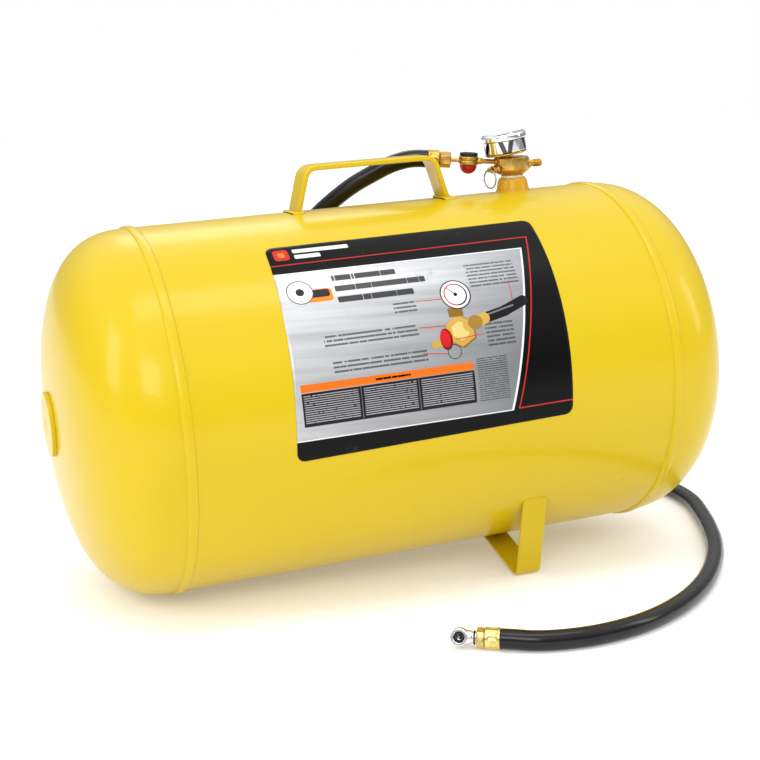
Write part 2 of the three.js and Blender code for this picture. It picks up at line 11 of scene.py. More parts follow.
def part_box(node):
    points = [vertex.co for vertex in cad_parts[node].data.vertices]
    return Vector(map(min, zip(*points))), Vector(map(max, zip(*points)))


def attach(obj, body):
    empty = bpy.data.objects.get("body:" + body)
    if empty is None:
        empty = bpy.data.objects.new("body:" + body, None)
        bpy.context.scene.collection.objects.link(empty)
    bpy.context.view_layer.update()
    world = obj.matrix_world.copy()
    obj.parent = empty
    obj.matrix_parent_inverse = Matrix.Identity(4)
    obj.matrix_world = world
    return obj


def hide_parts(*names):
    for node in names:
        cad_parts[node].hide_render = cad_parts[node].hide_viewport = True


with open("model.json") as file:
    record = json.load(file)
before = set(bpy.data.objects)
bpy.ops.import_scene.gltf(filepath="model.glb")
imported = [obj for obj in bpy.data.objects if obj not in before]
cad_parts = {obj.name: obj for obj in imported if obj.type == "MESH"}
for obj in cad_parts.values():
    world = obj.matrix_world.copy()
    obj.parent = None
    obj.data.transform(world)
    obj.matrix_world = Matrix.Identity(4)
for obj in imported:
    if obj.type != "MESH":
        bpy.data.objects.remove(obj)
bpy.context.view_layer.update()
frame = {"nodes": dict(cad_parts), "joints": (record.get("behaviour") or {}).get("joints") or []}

# Sizes. Each piece is drawn in millimetres in a place of its own, and the place turns that into metres.

MM = 0.001

TANK_RADIUS = 157.0
TANK_LENGTH = 429.0
TANK_WALL = 2.0
HEAD_DEPTH = 82.7
HEAD_FULLNESS = 2.6
GAP = 0.3

BEAD_WIDTH = 8.8
BEAD_HEIGHT = 2.0
SEAM_ANGLE = 40.0
PAD_RADIUS = 27.5
PAD_THICKNESS = 3.5

HANDLE_BASE = 142.0
HANDLE_TOP = 118.0
HANDLE_RISE = 39.5
HANDLE_WIDTH = 25.7
HANDLE_THICKNESS = 4.5
HANDLE_BEND = 9.0
BEAD_LEAN = 24.0

FOOT_STATION = 78.3
FOOT_WIDTH = 22.7
FOOT_THICKNESS = 3.0
FOOT_BEND = 7.0
# A strap foot's top, heel and toe, as (across, up) from the tank's axis.
FOOT_CORNERS = [(-122.8, -97.9), (-101.0, -172.6), (-31.0, -153.2)]

BUNG_STATION = 139.5
BUNG_TOP = 169.6
BUNG_BORE = 8.8
TAPE_BORE = 8.6
TAPE_RADIUS = 9.9
TAPE_TURNS = 5
TAPE_THICKNESS = 1.4
BLOCK_FLOOR = BUNG_TOP + TAPE_THICKNESS + 2 * GAP
BLOCK_FLATS = 29.6
BLOCK_HEIGHT = 16.6
BLOCK_CORNER = BLOCK_FLATS / 2 / math.cos(math.pi / 8)
BLOCK_BORE = 3.0
SHANK_RADIUS = 8.5
OUTLET = {"azimuth": 160.0, "height": 11.2, "rise": 6.0}
RELIEF = {"azimuth": 195.0, "height": 6.6, "rise": 0.0}
FILL = {"azimuth": 0.0, "height": 9.0, "rise": 0.0}
PORT_SEAT = 5.0

GAUGE_RADIUS = 20.3
GAUGE_HEIGHT = 19.2
DRUM_RADIUS = GAUGE_RADIUS - 1.3
DRUM_INSIDE = DRUM_RADIUS - 1.0
GAUGE_STEM = 4.3
DIAL_HOLE = 1.4

RELIEF_RADIUS = 3.6
RELIEF_LENGTH = 7.0
RELIEF_BORE = 2.5
RING_RADIUS = 8.2
RING_WIRE = 0.7
RING_EYE = 2.8
FILL_RADIUS = 3.5
FILL_LENGTH = 14.0
FILL_BORE = 1.9

PIPE_RADIUS = 2.2
PIPE_BORE = 1.2
TAIL_RADIUS = 1.8
TAIL_FLANGE = 4.2
COCK_DISTANCE = 39.3
COCK_RADIUS = 9.0
COCK_HEIGHT = 7.6
COCK_BORE = 3.4
KNOB_RADIUS = 8.0
CAP_RADIUS = 8.3
NUT_START = 55.5
NUT_LENGTH = 10.5
NUT_FLATS = 12.8

HOSE_RADIUS = 8.0
FERRULE_RADIUS = 8.7
FERRULE_BORE = 2.2
CRIMPS = 12
TANK_FERRULE = 10.2
CHUCK_AZIMUTH = 150.0
CHUCK_ROLL = 20.0
CHUCK_FERRULE = 11.8
CHUCK_NUT = 6.4
CHUCK_NUT_FLATS = 14.4
CHUCK_REACH = 12.6
CHUCK_BALL = 7.6
CHUCK_FACE = 9.6
CHUCK_MOUTH = 6.8
CHUCK_THROAT = 4.2
CHUCK_WELL = 1.6
CHUCK_WELL_FLOOR = -3.0

# The hose's middle line in metres, from the ferrule behind the handle to the chuck in front.
HOSE_ROUTE = [
    (0.0606, 0.0262, 0.3626), (0.0522, 0.0292, 0.3631), (0.0436, 0.0329, 0.3624), (0.031, 0.042, 0.358),
    (0.018, 0.055, 0.3495), (0.004, 0.0695, 0.339), (-0.009, 0.0845, 0.326), (-0.022, 0.101, 0.310),
    (-0.033, 0.118, 0.291), (-0.042, 0.135, 0.267), (-0.048, 0.150, 0.240), (-0.050, 0.161, 0.210),
    (-0.048, 0.1675, 0.178), (-0.036, 0.174, 0.116), (-0.026, 0.178, 0.086), (-0.012, 0.184, 0.058),
    (0.007, 0.191, 0.034), (0.032, 0.200, 0.017), (0.062, 0.209, 0.0094), (0.098, 0.216, 0.0084),
    (0.146, 0.219, 0.0081), (0.196, 0.215, 0.0081), (0.243, 0.201, 0.0081), (0.286, 0.177, 0.0081),
    (0.320, 0.143, 0.0081), (0.341, 0.102, 0.0081), (0.349, 0.062, 0.0081), (0.343, 0.018, 0.0081),
    (0.329, -0.020, 0.0081), (0.309, -0.066, 0.0081), (0.284, -0.114, 0.0081), (0.252, -0.161, 0.0081),
    (0.214, -0.204, 0.0081), (0.168, -0.241, 0.0081), (0.120, -0.265, 0.0081), (0.076, -0.274, 0.0081),
    (0.044, -0.272, 0.0081), (0.024, -0.2663, 0.0083), (0.011, -0.259, 0.0087), (0.0021, -0.2539, 0.0088),
]


# Places: where a piece's own millimetres lie in the row frame.

def middle_of(node):
    low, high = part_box(node)
    return (low + high) / 2


def tank_place():
    """The tank's own frame: X along its axis to the right end, Z up through the handle."""
    left, right = middle_of("left_weld"), middle_of("right_weld")
    along = (right - left).normalized()
    across = Vector((0, 1, 0))
    up = along.cross(across)
    turn = Matrix((along, across, up)).transposed().to_4x4()
    return Matrix.Translation((left + right) / 2) @ turn @ Matrix.Scale(MM, 4)


def turned(degrees, axis):
    return Matrix.Rotation(math.radians(degrees), 4, axis)


TANK = tank_place()
ALONG_X = turned(90, "Y")


def port_place(port):
    """A fitting's frame at the block: X points out of the port."""
    at = Matrix.Translation((BUNG_STATION, 0, BLOCK_FLOOR + port["height"]))
    return TANK @ at @ turned(port["azimuth"], "Z") @ turned(-port["rise"], "Y")


def gauge_place():
    joint = next(j for j in frame["joints"] if j["name"] == "gauge_needle_turn")
    up = -Vector(joint["axis"])
    turn = up.to_track_quat("Z", "Y").to_matrix().to_4x4()
    facing = turn.inverted() @ TANK.to_quaternion().to_matrix().to_4x4() @ Vector((1, 0, 0))
    level = turned(math.degrees(math.atan2(facing.y, facing.x)), "Z")
    return Matrix.Translation(Vector(joint["pos_m"])) @ turn @ level @ Matrix.Scale(MM, 4)


def chuck_place():
    at = Matrix.Translation(Vector(HOSE_ROUTE[-1]))
    return at @ turned(CHUCK_AZIMUTH, "Z") @ turned(CHUCK_ROLL, "X") @ Matrix.Scale(MM, 4)


BLOCK = TANK @ Matrix.Translation((BUNG_STATION, 0, BLOCK_FLOOR))
GAUGE = gauge_place()
CHUCK = chuck_place()
CHUCK_NUT_START = GAP + CHUCK_FERRULE + GAP
CHUCK_CENTRE = CHUCK_NUT_START + CHUCK_NUT + GAP + CHUCK_REACH
MOUTH = CHUCK @ Matrix.Translation((CHUCK_CENTRE, 0, 0)) @ turned(-90, "X")


# The camera comes first, then the hose.

def place_camera():
    data = bpy.data.cameras.new("camera")
    data.sensor_width = 36.0
    data.lens = 70.36
    data.clip_end = 20.0
    camera = bpy.data.objects.new("camera", data)
    bpy.context.scene.collection.objects.link(camera)
    yaw, down, roll = 20.26, 11.12, -1.14
    stand = Matrix.Translation(Vector((-0.457, -1.240, 0.4268)))
    camera.matrix_world = stand @ turned(-yaw, "Z") @ turned(90 - down, "X") @ turned(roll, "Z")
    bpy.context.scene.camera = camera


def smooth_route(stations, steps):
    """A centripetal curve through the stations, the same one that the solid tube follows."""
    points = [Vector(p) for p in stations]
    ends = [points[0] * 2 - points[1]] + points + [points[-1] * 2 - points[-2]]
    route = [points[0]]
    for a, b, c, d in zip(ends, ends[1:], ends[2:], ends[3:]):
        first, second, third = (max((q - p).length ** 0.5, 1e-6) for p, q in ((a, b), (b, c), (c, d)))
        leave = ((b - a) / first - (c - a) / (first + second) + (c - b) / second) * second
        arrive = ((c - b) / second - (d - b) / (second + third) + (d - c) / third) * second
        for step in range(1, steps + 1):
            t = step / steps
            route.append(
                b * (2 * t ** 3 - 3 * t ** 2 + 1) + leave * (t ** 3 - 2 * t ** 2 + t)
                + c * (-2 * t ** 3 + 3 * t ** 2) + arrive * (t ** 3 - t ** 2)
            )
    return route


def length_of(route):
    return sum((b - a).length for a, b in zip(route, route[1:]))


def make_hose(finish):
    route = smooth_route(HOSE_ROUTE, 7)
    curve = bpy.data.curves.new("air_hose", "CURVE")
    curve.dimensions = "3D"
    line = curve.splines.new("POLY")
    line.points.add(len(route) - 1)
    for point, place in zip(line.points, route):
        point.co = (*place, 1)
    curve.bevel_depth = HOSE_RADIUS * MM
    curve.bevel_resolution = 8
    curve.use_fill_caps = True
    curve.materials.append(finish)
    hose = bpy.data.objects.new("air_hose", curve)
    bpy.context.scene.collection.objects.link(hose)
    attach(hose, "tank")
    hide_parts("hose")
    return hose, length_of(route)


# Shader maths.

def put(tree, socket, value):
    """Gives a socket a link or a plain value."""
    if isinstance(value, Num):
        tree.links.new(value.socket, socket)
    elif isinstance(value, bpy.types.NodeSocket):
        tree.links.new(value, socket)
    elif isinstance(value, tuple) and len(value) == 3 and socket.type == "RGBA":
        socket.default_value = (*value, 1.0)
    else:
        socket.default_value = value


class Num:
    """A number that changes over a surface. Arithmetic on it adds Math nodes."""

    def __init__(self, tree, socket):
        self.tree = tree
        self.socket = socket

    def math(self, operation, *others, clamp=False):
        made = self.tree.nodes.new("ShaderNodeMath")
        made.operation = operation
        made.use_clamp = clamp
        for i, value in enumerate(others):
            put(self.tree, made.inputs[i], value)
        return Num(self.tree, made.outputs[0])

    def __add__(self, other):
        return self.math("ADD", self, other)

    def __radd__(self, other):
        return self.math("ADD", other, self)

    def __sub__(self, other):
        return self.math("SUBTRACT", self, other)

    def __rsub__(self, other):
        return self.math("SUBTRACT", other, self)

    def __mul__(self, other):
        return self.math("MULTIPLY", self, other)

    def __rmul__(self, other):
        return self.math("MULTIPLY", other, self)

    def __truediv__(self, other):
        return self.math("DIVIDE", self, other)

    def __pow__(self, power):
        return self.math("POWER", self, power)

    def __abs__(self):
        return self.math("ABSOLUTE", self)

    def least(self, other):
        return self.math("MINIMUM", self, other)

    def most(self, other):
        return self.math("MAXIMUM", self, other)

    def clamped(self):
        return self.math("ADD", self, 0.0, clamp=True)

    def floor(self):
        return self.math("FLOOR", self)

    def fraction(self):
        return self.math("FRACT", self)

    def ramp(self, low, high):
        """0 below low, 1 above high and a smooth rise between them."""
        made = self.tree.nodes.new("ShaderNodeMapRange")
        made.interpolation_type = "SMOOTHSTEP"
        for name, value in (("Value", self), ("From Min", low), ("From Max", high)):
            put(self.tree, made.inputs[name], value)
        return Num(self.tree, made.outputs[0])


SOCKET_NAMES = {"specular_ior_level": "Specular IOR Level", "ior": "IOR"}


class Finish:
    """A material in the making. Constants go straight on its shader's sockets."""

    def __init__(self, name, colour, roughness, **constants):
        self.material = bpy.data.materials.new(name)
        self.material.use_nodes = True
        self.tree = self.material.node_tree
        self.shader = self.tree.nodes["Principled BSDF"]
        put(self.tree, self.shader.inputs["Base Color"], colour)
        put(self.tree, self.shader.inputs["Roughness"], roughness)
        for key, value in constants.items():
            put(self.tree, self.shader.inputs[SOCKET_NAMES.get(key, key.replace("_", " ").title())], value)
        self.place = self.node("ShaderNodeTexCoord", output="Object")
        self.bumps = None

    def node(self, kind, settings=(), output=0, **inputs):
        """One node of any kind: its settings first, then its sockets, and the output that is asked for."""
        made = self.tree.nodes.new(kind)
        for key, value in dict(settings).items():
            setattr(made, key, value)
        for key, value in inputs.items():
            put(self.tree, made.inputs[key], value)
        return made.outputs[output]

    def stretched(self, scale, turn=(0.0, 0.0, 0.0)):
        return self.node("ShaderNodeMapping", Vector=self.place, Scale=scale, Rotation=turn)

    def noise(self, scale, detail=3.0, roughness=0.5, place=None):
        socket = self.node(
            "ShaderNodeTexNoise", Vector=place or self.place, Scale=scale, Detail=detail, Roughness=roughness,
        )
        return Num(self.tree, socket)

    def along(self, place, direction):
        """How far a place lies in a direction."""
        made = self.tree.nodes.new("ShaderNodeVectorMath")
        made.operation = "DOT_PRODUCT"
        put(self.tree, made.inputs[0], place)
        put(self.tree, made.inputs[1], direction)
        return Num(self.tree, made.outputs["Value"])

    def mix(self, factor, under, over):
        made = self.tree.nodes.new("ShaderNodeMix")
        made.data_type = "RGBA"
        for socket, value in zip((made.inputs[0], made.inputs[6], made.inputs[7]), (factor, under, over)):
            put(self.tree, socket, value)
        return made.outputs[2]

    def set(self, name, value):
        put(self.tree, self.shader.inputs[name], value)

    def bump(self, height, strength, distance):
        inputs = {"Height": height, "Strength": strength, "Distance": distance}
        if self.bumps is not None:
            inputs["Normal"] = self.bumps
        self.bumps = self.node("ShaderNodeBump", **inputs)
        self.set("Normal", self.bumps)


def srgb(red, green, blue):
    """A colour given as it is seen, from 0 to 255, in the linear numbers that a shader takes."""
    def linear(value):
        share = value / 255
        return share / 12.92 if share <= 0.04045 else ((share + 0.055) / 1.055) ** 2.4
    return tuple(linear(v) for v in (red, green, blue))


# The number of painted reflection wedges round the gauge's drum.
DRUM_WEDGES = 5
YELLOW = (0.64, 0.462, 0.006)


def enamel(name="yellow_enamel", colour=YELLOW, deep=(0.615, 0.43, 0.005)):
    """Glossy yellow enamel over steel: orange peel, slow waves in the sheet, dust and rubbed spots."""
    made = Finish(name, colour, 0.3, coat_roughness=0.05, specular_ior_level=0.22)
    depth = made.noise(7.0, 2.0)
    colour = made.mix(depth.ramp(0.3, 0.75) * 0.35, colour, deep)
    rubbed = made.noise(38.0, 6.0, 0.65).ramp(0.62, 0.78) * made.noise(5.0, 2.0).ramp(0.5, 0.7)
    colour = made.mix(rubbed * 0.22, colour, (0.50, 0.35, 0.04))
    made.set("Base Color", colour)
    made.set("Roughness", 0.26 + rubbed * 0.2 + made.noise(120.0, 3.0) * 0.06)
    made.set("Coat Weight", 0.16 - rubbed * 0.1)
    made.bump(made.noise(4.5, 1.0), 0.25, 0.004)
    made.bump(made.noise(420.0, 1.0), 0.05, 0.0006)
    return made.material


def brass(name="machined_brass", colour=srgb(206, 166, 84), stain=srgb(150, 108, 44)):
    """Turned brass: fine tool marks, and tarnish in uneven patches."""
    made = Finish(name, colour, 0.28, metallic=1.0)
    tarnish = made.noise(160.0, 5.0, 0.6).ramp(0.42, 0.72)
    made.set("Base Color", made.mix(tarnish * 0.55, colour, stain))
    made.set("Roughness", 0.2 + tarnish * 0.22 + made.noise(900.0, 2.0) * 0.06)
    made.bump(made.noise(1500.0, 2.0), 0.12, 0.0002)
    return made.material


def chrome():
    """Plated steel with faint smears from handling."""
    made = Finish("chrome_plate", (0.78, 0.79, 0.81), 0.07, metallic=1.0)
    smear = made.noise(60.0, 4.0, 0.6, made.stretched((1.0, 1.0, 3.0))).ramp(0.45, 0.75)
    made.set("Base Color", made.mix(smear * 0.3, (0.80, 0.81, 0.83), (0.62, 0.62, 0.63)))
    made.set("Roughness", 0.05 + smear * 0.12)
    made.bump(made.noise(240.0, 2.0), 0.03, 0.0003)
    return made.material


def drum_plate_painted_reflections():
    """Mirror plate on the gauge's drum, with painted reflections: the dark wedges that a bright room leaves
    in a round mirror, and a painted shadow band under the rim.
    """
    made = Finish("drum_plate_painted_reflections", (0.8, 0.81, 0.83), 0.06, metallic=1.0)
    local = made.node("ShaderNodeMapping", Vector=made.place, Location=-GAUGE.translation)
    x, y, z = (made.along(local, direction) for direction in GAUGE.to_3x3().normalized().transposed())
    share = ((z / MM - 1.8) / (GAUGE_HEIGHT - 4.0)).clamped()
    around = ((y.math("ARCTAN2", y, x) + 1.92) * (DRUM_WEDGES / (2 * math.pi)) + 0.5).fraction() - 0.5
    wander = (made.noise(90.0, 2.0) - 0.5) * 0.10
    wedge = abs(abs(around) + wander - 0.06 - share * 0.22)
    # A painted shadow: a dark band round the drum under the rim.
    rim_shadow = 1.0 - abs(z / MM - (GAUGE_HEIGHT - 5.6)).ramp(0.3, 0.9)
    dark = (1.0 - wedge.ramp(0.07, 0.12)).most(rim_shadow * 0.85)
    smear = made.noise(60.0, 4.0, 0.6).ramp(0.45, 0.75)
    plain = made.mix(smear * 0.3, (0.80, 0.81, 0.83), (0.62, 0.62, 0.63))
    # The plate is darkened by the painted reflection wedges and the painted shadow band.
    made.set("Base Color", made.mix(dark * 0.93, plain, (0.02, 0.02, 0.02)))
    made.set("Roughness", 0.05 + smear * 0.1)
    made.bump(made.noise(240.0, 2.0), 0.03, 0.0003)
    return made.material


def wire_steel():
    """Plain drawn wire, darker where it is handled."""
    made = Finish("wire_steel", (0.4, 0.4, 0.41), 0.35, metallic=1.0)
    worn = made.noise(300.0, 4.0).ramp(0.4, 0.7)
    made.set("Base Color", made.mix(worn, (0.45, 0.45, 0.46), (0.24, 0.23, 0.22)))
    made.set("Roughness", 0.28 + worn * 0.2)
    made.bump(made.noise(1800.0, 2.0), 0.15, 0.0002)
    return made.material


def hose_cover():
    """Smooth extruded black rubber, glossy, with a little dust and small scuffs."""
    made = Finish(
        "hose_rubber", srgb(14, 14, 15), 0.3, coat_weight=0.12, coat_roughness=0.1, specular_ior_level=0.3,
    )
    dust = made.noise(45.0, 5.0, 0.6).ramp(0.5, 0.8)
    scuff = made.noise(260.0, 4.0, 0.7).ramp(0.66, 0.74)
    made.set("Base Color", made.mix(dust * 0.2 + scuff * 0.25, srgb(11, 11, 12), srgb(56, 54, 52)))
    made.set("Roughness", 0.24 + dust * 0.16 + scuff * 0.2)
    made.bump(made.noise(700.0, 2.0), 0.08, 0.0003)
    made.bump(made.noise(55.0, 1.0), 0.2, 0.0008)
    return made.material


def soft_rubber():
    made = Finish("seal_rubber", srgb(16, 16, 16), 0.6)
    bloom = made.noise(400.0, 4.0).ramp(0.4, 0.8)
    made.set("Base Color", made.mix(bloom * 0.5, srgb(14, 14, 14), srgb(44, 43, 42)))
    made.set("Roughness", 0.5 + bloom * 0.2)
    made.bump(made.noise(1600.0, 3.0), 0.2, 0.0002)
    return made.material


def moulded(name, colour, dull, roughness):
    """Moulded plastic: fine grain, flow marks and rubbed patches."""
    made = Finish(name, colour, roughness, coat_weight=0.1, coat_roughness=0.08, specular_ior_level=0.35)
    rubbed = made.noise(140.0, 5.0, 0.6).ramp(0.5, 0.78)
    made.set("Base Color", made.mix(rubbed * 0.45, colour, dull))
    made.set("Roughness", roughness + rubbed * 0.18)
    made.bump(made.noise(1100.0, 2.0), 0.08, 0.0002)
    return made.material


def thread_tape():
    """White seal tape wound in thin turns, dull and slightly translucent."""
    made = Finish("seal_tape", srgb(236, 236, 230), 0.55, subsurface_weight=0.1)
    turns = made.noise(900.0, 3.0, 0.6, made.stretched((0.15, 0.15, 2.5))).ramp(0.35, 0.65)
    made.set("Base Color", made.mix(turns * 0.4, srgb(240, 240, 234), srgb(206, 204, 194)))
    made.set("Roughness", 0.45 + turns * 0.2)
    made.bump(turns, 0.4, 0.0004)
    return made.material


def dial_print():
    made = Finish("dial_white", srgb(240, 240, 236), 0.45)
    age = made.noise(90.0, 4.0).ramp(0.4, 0.8)
    made.set("Base Color", made.mix(age * 0.3, srgb(243, 243, 240), srgb(222, 220, 208)))
    made.set("Roughness", 0.4 + age * 0.12)
    made.bump(made.noise(2500.0, 2.0), 0.05, 0.0001)
    return made.material


def clear_lens():
    made = Finish("gauge_glass", (0.96, 0.98, 0.98), 0.04, transmission_weight=0.92, ior=1.45)
    smear = made.noise(70.0, 4.0).ramp(0.5, 0.8)
    made.set("Roughness", 0.02 + smear * 0.06)
    made.set("Base Color", made.mix(smear * 0.2, (0.97, 0.99, 0.99), (0.88, 0.9, 0.9)))
    return made.material


class Print(Finish):
    """A finish whose pattern lies on the sticker's own map, in millimetres from its middle."""

    def __init__(self, name, colour, roughness, **constants):
        super().__init__(name, colour, roughness, **constants)
        sheet = self.node("ShaderNodeUVMap", {"uv_map": "sheet"})
        apart = self.tree.nodes.new("ShaderNodeSeparateXYZ")
        put(self.tree, apart.inputs[0], sheet)
        self.x = Num(self.tree, apart.outputs[0]) * LABEL_SPAN - LABEL_LEFT
        self.y = Num(self.tree, apart.outputs[1]) * LABEL_SPAN - LABEL_FOOT
        self.colour = colour
        self.edge = 0.25

    def box(self, left, low, right, high, corner=0.0):
        """1 inside a rectangle and 0 outside, with rounded corners."""
        across = abs(self.x - (left + right) / 2) - ((right - left) / 2 - corner)
        up = abs(self.y - (low + high) / 2) - ((high - low) / 2 - corner)
        return 1.0 - self.spread(across, up, corner)

    def spread(self, across, up, corner):
        if corner == 0.0:
            return across.most(up).ramp(-self.edge, self.edge)
        far = (across.most(0.0) ** 2 + up.most(0.0) ** 2) ** 0.5 + across.most(up).least(0.0)
        return far.ramp(corner - self.edge, corner + self.edge)

    def beside(self, low_point, high_point):
        """1 to the right of a slanting line and 0 to the left of it."""
        (x0, y0), (x1, y1) = low_point, high_point
        length = math.hypot(x1 - x0, y1 - y0)
        far = ((self.x - x0) * (y1 - y0) - (self.y - y0) * (x1 - x0)) / length
        return far.ramp(-self.edge, self.edge)

    def disc(self, x, y, radius, squeeze=1.0):
        far = ((self.x - x) ** 2 + ((self.y - y) * squeeze) ** 2) ** 0.5
        return 1.0 - far.ramp(radius - self.edge, radius + self.edge)

    def hexagon(self, x, y, radius):
        across, up = self.x - x, self.y - y
        slants = abs(across * 0.5 + up * 0.866).most(abs(across * 0.5 - up * 0.866))
        return 1.0 - abs(across).most(slants).ramp(radius - self.edge, radius + self.edge)

    def hoop(self, x, y, radius, width):
        far = ((self.x - x) ** 2 + (self.y - y) ** 2) ** 0.5
        return 1.0 - abs(far - radius).ramp(width / 2 - 0.15, width / 2 + 0.15)

    def stroke(self, start, end, width):
        """1 along a straight line from one point to another."""
        (x0, y0), (x1, y1) = start, end
        length = math.hypot(x1 - x0, y1 - y0)
        ux, uy = (x1 - x0) / length, (y1 - y0) / length
        along = ((self.x - x0) * ux + (self.y - y0) * uy).most(0.0).least(length)
        far = ((self.x - x0 - along * ux) ** 2 + (self.y - y0 - along * uy) ** 2) ** 0.5
        return 1.0 - far.ramp(width / 2 - 0.2, width / 2 + 0.2)

    def ink(self, mask, colour, strength=1.0):
        self.colour = self.mix(mask * strength, self.colour, colour)


# Shapes. Each returns a bmesh in the piece's own millimetres, and place_piece makes it an object.

NUT_EASE = 0.35
MERGE_DISTANCE = 1e-3
STRAP_RUNS = 6


def ring_profile(bore, reach, low, high):
    """A square-cornered ring's closed profile."""
    return [(bore, low), (reach, low), (reach, high), (bore, high), (bore, low)]


def rounded(profile, radius, steps=4):
    """The line with its inner corners rounded, less where a side is short."""
    points = [Vector(p) for p in profile]
    line = [points[0]]
    for before, corner, after in zip(points, points[1:], points[2:]):
        back, ahead = before - corner, after - corner
        reach = min(radius, back.length * 0.45, ahead.length * 0.45)
        start = corner + back.normalized() * reach
        end = corner + ahead.normalized() * reach
        for i in range(steps + 1):
            t = i / steps
            line.append(start * (1 - t) ** 2 + corner * (2 * t * (1 - t)) + end * t ** 2)
    return line + [points[-1]]


def full_turn(shape, geom, steps):
    bmesh.ops.spin(
        shape, geom=geom, cent=(0, 0, 0), axis=(0, 0, 1), angle=2 * math.pi,
        steps=steps, use_merge=True, use_duplicate=False,
    )
    bmesh.ops.remove_doubles(shape, verts=shape.verts, dist=MERGE_DISTANCE)


def lathe(profile, segments=72, corner=0.3):
    """A profile of (radius, height) turned about Z. One that ends where it starts makes a hollow ring."""
    shape = bmesh.new()
    line = rounded(profile, corner) if corner else [Vector(p) for p in profile]
    verts = [shape.verts.new((radius, 0, height)) for radius, height in line]
    edges = [shape.edges.new(pair) for pair in zip(verts, verts[1:])]
    full_turn(shape, verts + edges, segments)
    bmesh.ops.dissolve_degenerate(shape, dist=MERGE_DISTANCE / 10, edges=shape.edges)
    bmesh.ops.recalc_face_normals(shape, faces=shape.faces)
    return shape


def ease_edges(shape, width, sharper=25.0):
    edges = [e for e in shape.edges if e.is_manifold and e.calc_face_angle() > math.radians(sharper)]
    bmesh.ops.bevel(
        shape, geom=edges, offset=width, offset_type="OFFSET", segments=3, profile=0.5,
        affect="EDGES", clamp_overlap=True, material=-1,
    )
    return shape


def hex_nut(flats, low, high, bore, chamfer):
    """A hexagonal nut about Z with chamfered ends."""
    reach = flats / 2 / math.cos(math.pi / 6)
    profile = [
        (bore, low), (reach - chamfer, low), (reach, low + chamfer), (reach, high - chamfer),
        (reach - chamfer, high), (bore, high), (bore, low),
    ]
    return ease_edges(lathe(profile, 6, 0.0), NUT_EASE)


def ring_wire(reach, wire):
    """A round ring about Z."""
    shape = bmesh.new()
    turn = Matrix.Translation((reach, 0, 0)) @ turned(90, "X")
    made = bmesh.ops.create_circle(shape, cap_ends=False, segments=14, radius=wire, matrix=turn)
    edges = list({e for v in made["verts"] for e in v.link_edges})
    full_turn(shape, made["verts"] + edges, 64)
    bmesh.ops.recalc_face_normals(shape, faces=shape.faces)
    return shape


def bent_strap(line, width, thickness, place_point):
    """A flat bar along a line, its long edges rounded. place_point turns (line point, across) to x, y, z."""
    shape = bmesh.new()
    across = [width * (j / STRAP_RUNS - 0.5) for j in range(STRAP_RUNS + 1)]
    rows = [[shape.verts.new(place_point(p, a)) for a in across] for p in line]
    lines = [[shape.edges.new(pair) for pair in zip(row, row[1:])] for row in rows]
    for before, after in zip(lines, lines[1:]):
        bmesh.ops.bridge_loops(shape, edges=before + after)
    bmesh.ops.recalc_face_normals(shape, faces=shape.faces)
    shape.normal_update()
    for v, normal in [(v, v.normal.copy()) for v in shape.verts]:
        v.co -= normal * thickness / 2
    bmesh.ops.solidify(shape, geom=shape.faces[:], thickness=-thickness)
    bmesh.ops.recalc_face_normals(shape, faces=shape.faces)
    return ease_edges(shape, thickness * 0.28, 60.0)


def move_verts(shape, move):
    for v in shape.verts:
        v.co = move(v.co)
    shape.normal_update()
    return shape


def join_shapes(first, *others):
    for other in others:
        scratch = bpy.data.meshes.new("scratch")
        other.to_mesh(scratch)
        other.free()
        first.from_mesh(scratch)
        bpy.data.meshes.remove(scratch)
    return first


def shifted(shape, place):
    bmesh.ops.transform(shape, matrix=place, verts=shape.verts)
    return shape


def place_piece(name, shape, place, finish, body, nodes=(), sharp=32.0):
    """Makes the bmesh an object at the origin with its place in its mesh."""
    mesh = bpy.data.meshes.new(name)
    bmesh.ops.transform(shape, matrix=place, verts=shape.verts)
    shape.to_mesh(mesh)
    shape.free()
    mesh.materials.append(finish)
    mesh.shade_smooth()
    mesh.set_sharp_from_angle(angle=math.radians(sharp))
    piece = bpy.data.objects.new(name, mesh)
    bpy.context.scene.collection.objects.link(piece)
    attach(piece, body)
    if nodes:
        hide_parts(*nodes)
    return piece


def face_outward(piece):
    """Turns an open sheet's faces away from the tank's middle."""
    face = piece.data.polygons[len(piece.data.polygons) // 2]
    if face.normal.dot(face.center - TANK.translation) < 0:
        piece.data.flip_normals()


# The welded tank.

def dish(radius, depth, steps):
    power = 2 / HEAD_FULLNESS
    turn = [math.pi / 2 * i / steps for i in range(steps + 1)]
    line = [(radius * max(math.cos(a), 0.0) ** power, depth * math.sin(a) ** power) for a in turn]
    return line[:-1] + [(0.0, depth)]


def make_heads(paint):
    outer = dish(TANK_RADIUS, HEAD_DEPTH, 40)
    inner = dish(TANK_RADIUS - TANK_WALL, HEAD_DEPTH - TANK_WALL, 24)
    profile = outer + inner[::-1] + [outer[0]]
    for name, side in (("right_dish", 1), ("left_dish", -1)):
        seat = Matrix.Translation((side * (TANK_LENGTH / 2 + GAP), 0, 0)) @ turned(side * 90, "Y")
        node = name.replace("dish", "head")
        place_piece(name, lathe(profile, 160, 0.0), TANK @ seat, paint, "tank", [node], 50.0)


def make_shell(paint):
    half = TANK_LENGTH / 2
    inner = TANK_RADIUS - TANK_WALL
    stations = [-half + TANK_LENGTH * i / 16 for i in range(17)]
    profile = [(TANK_RADIUS, x) for x in stations] + [(inner, half), (inner, -half), (TANK_RADIUS, -half)]
    shape = lathe(profile, 160, 0.0)
    place_piece("rolled_shell", shape, TANK @ ALONG_X, paint, "tank", ["shell"], 50.0)


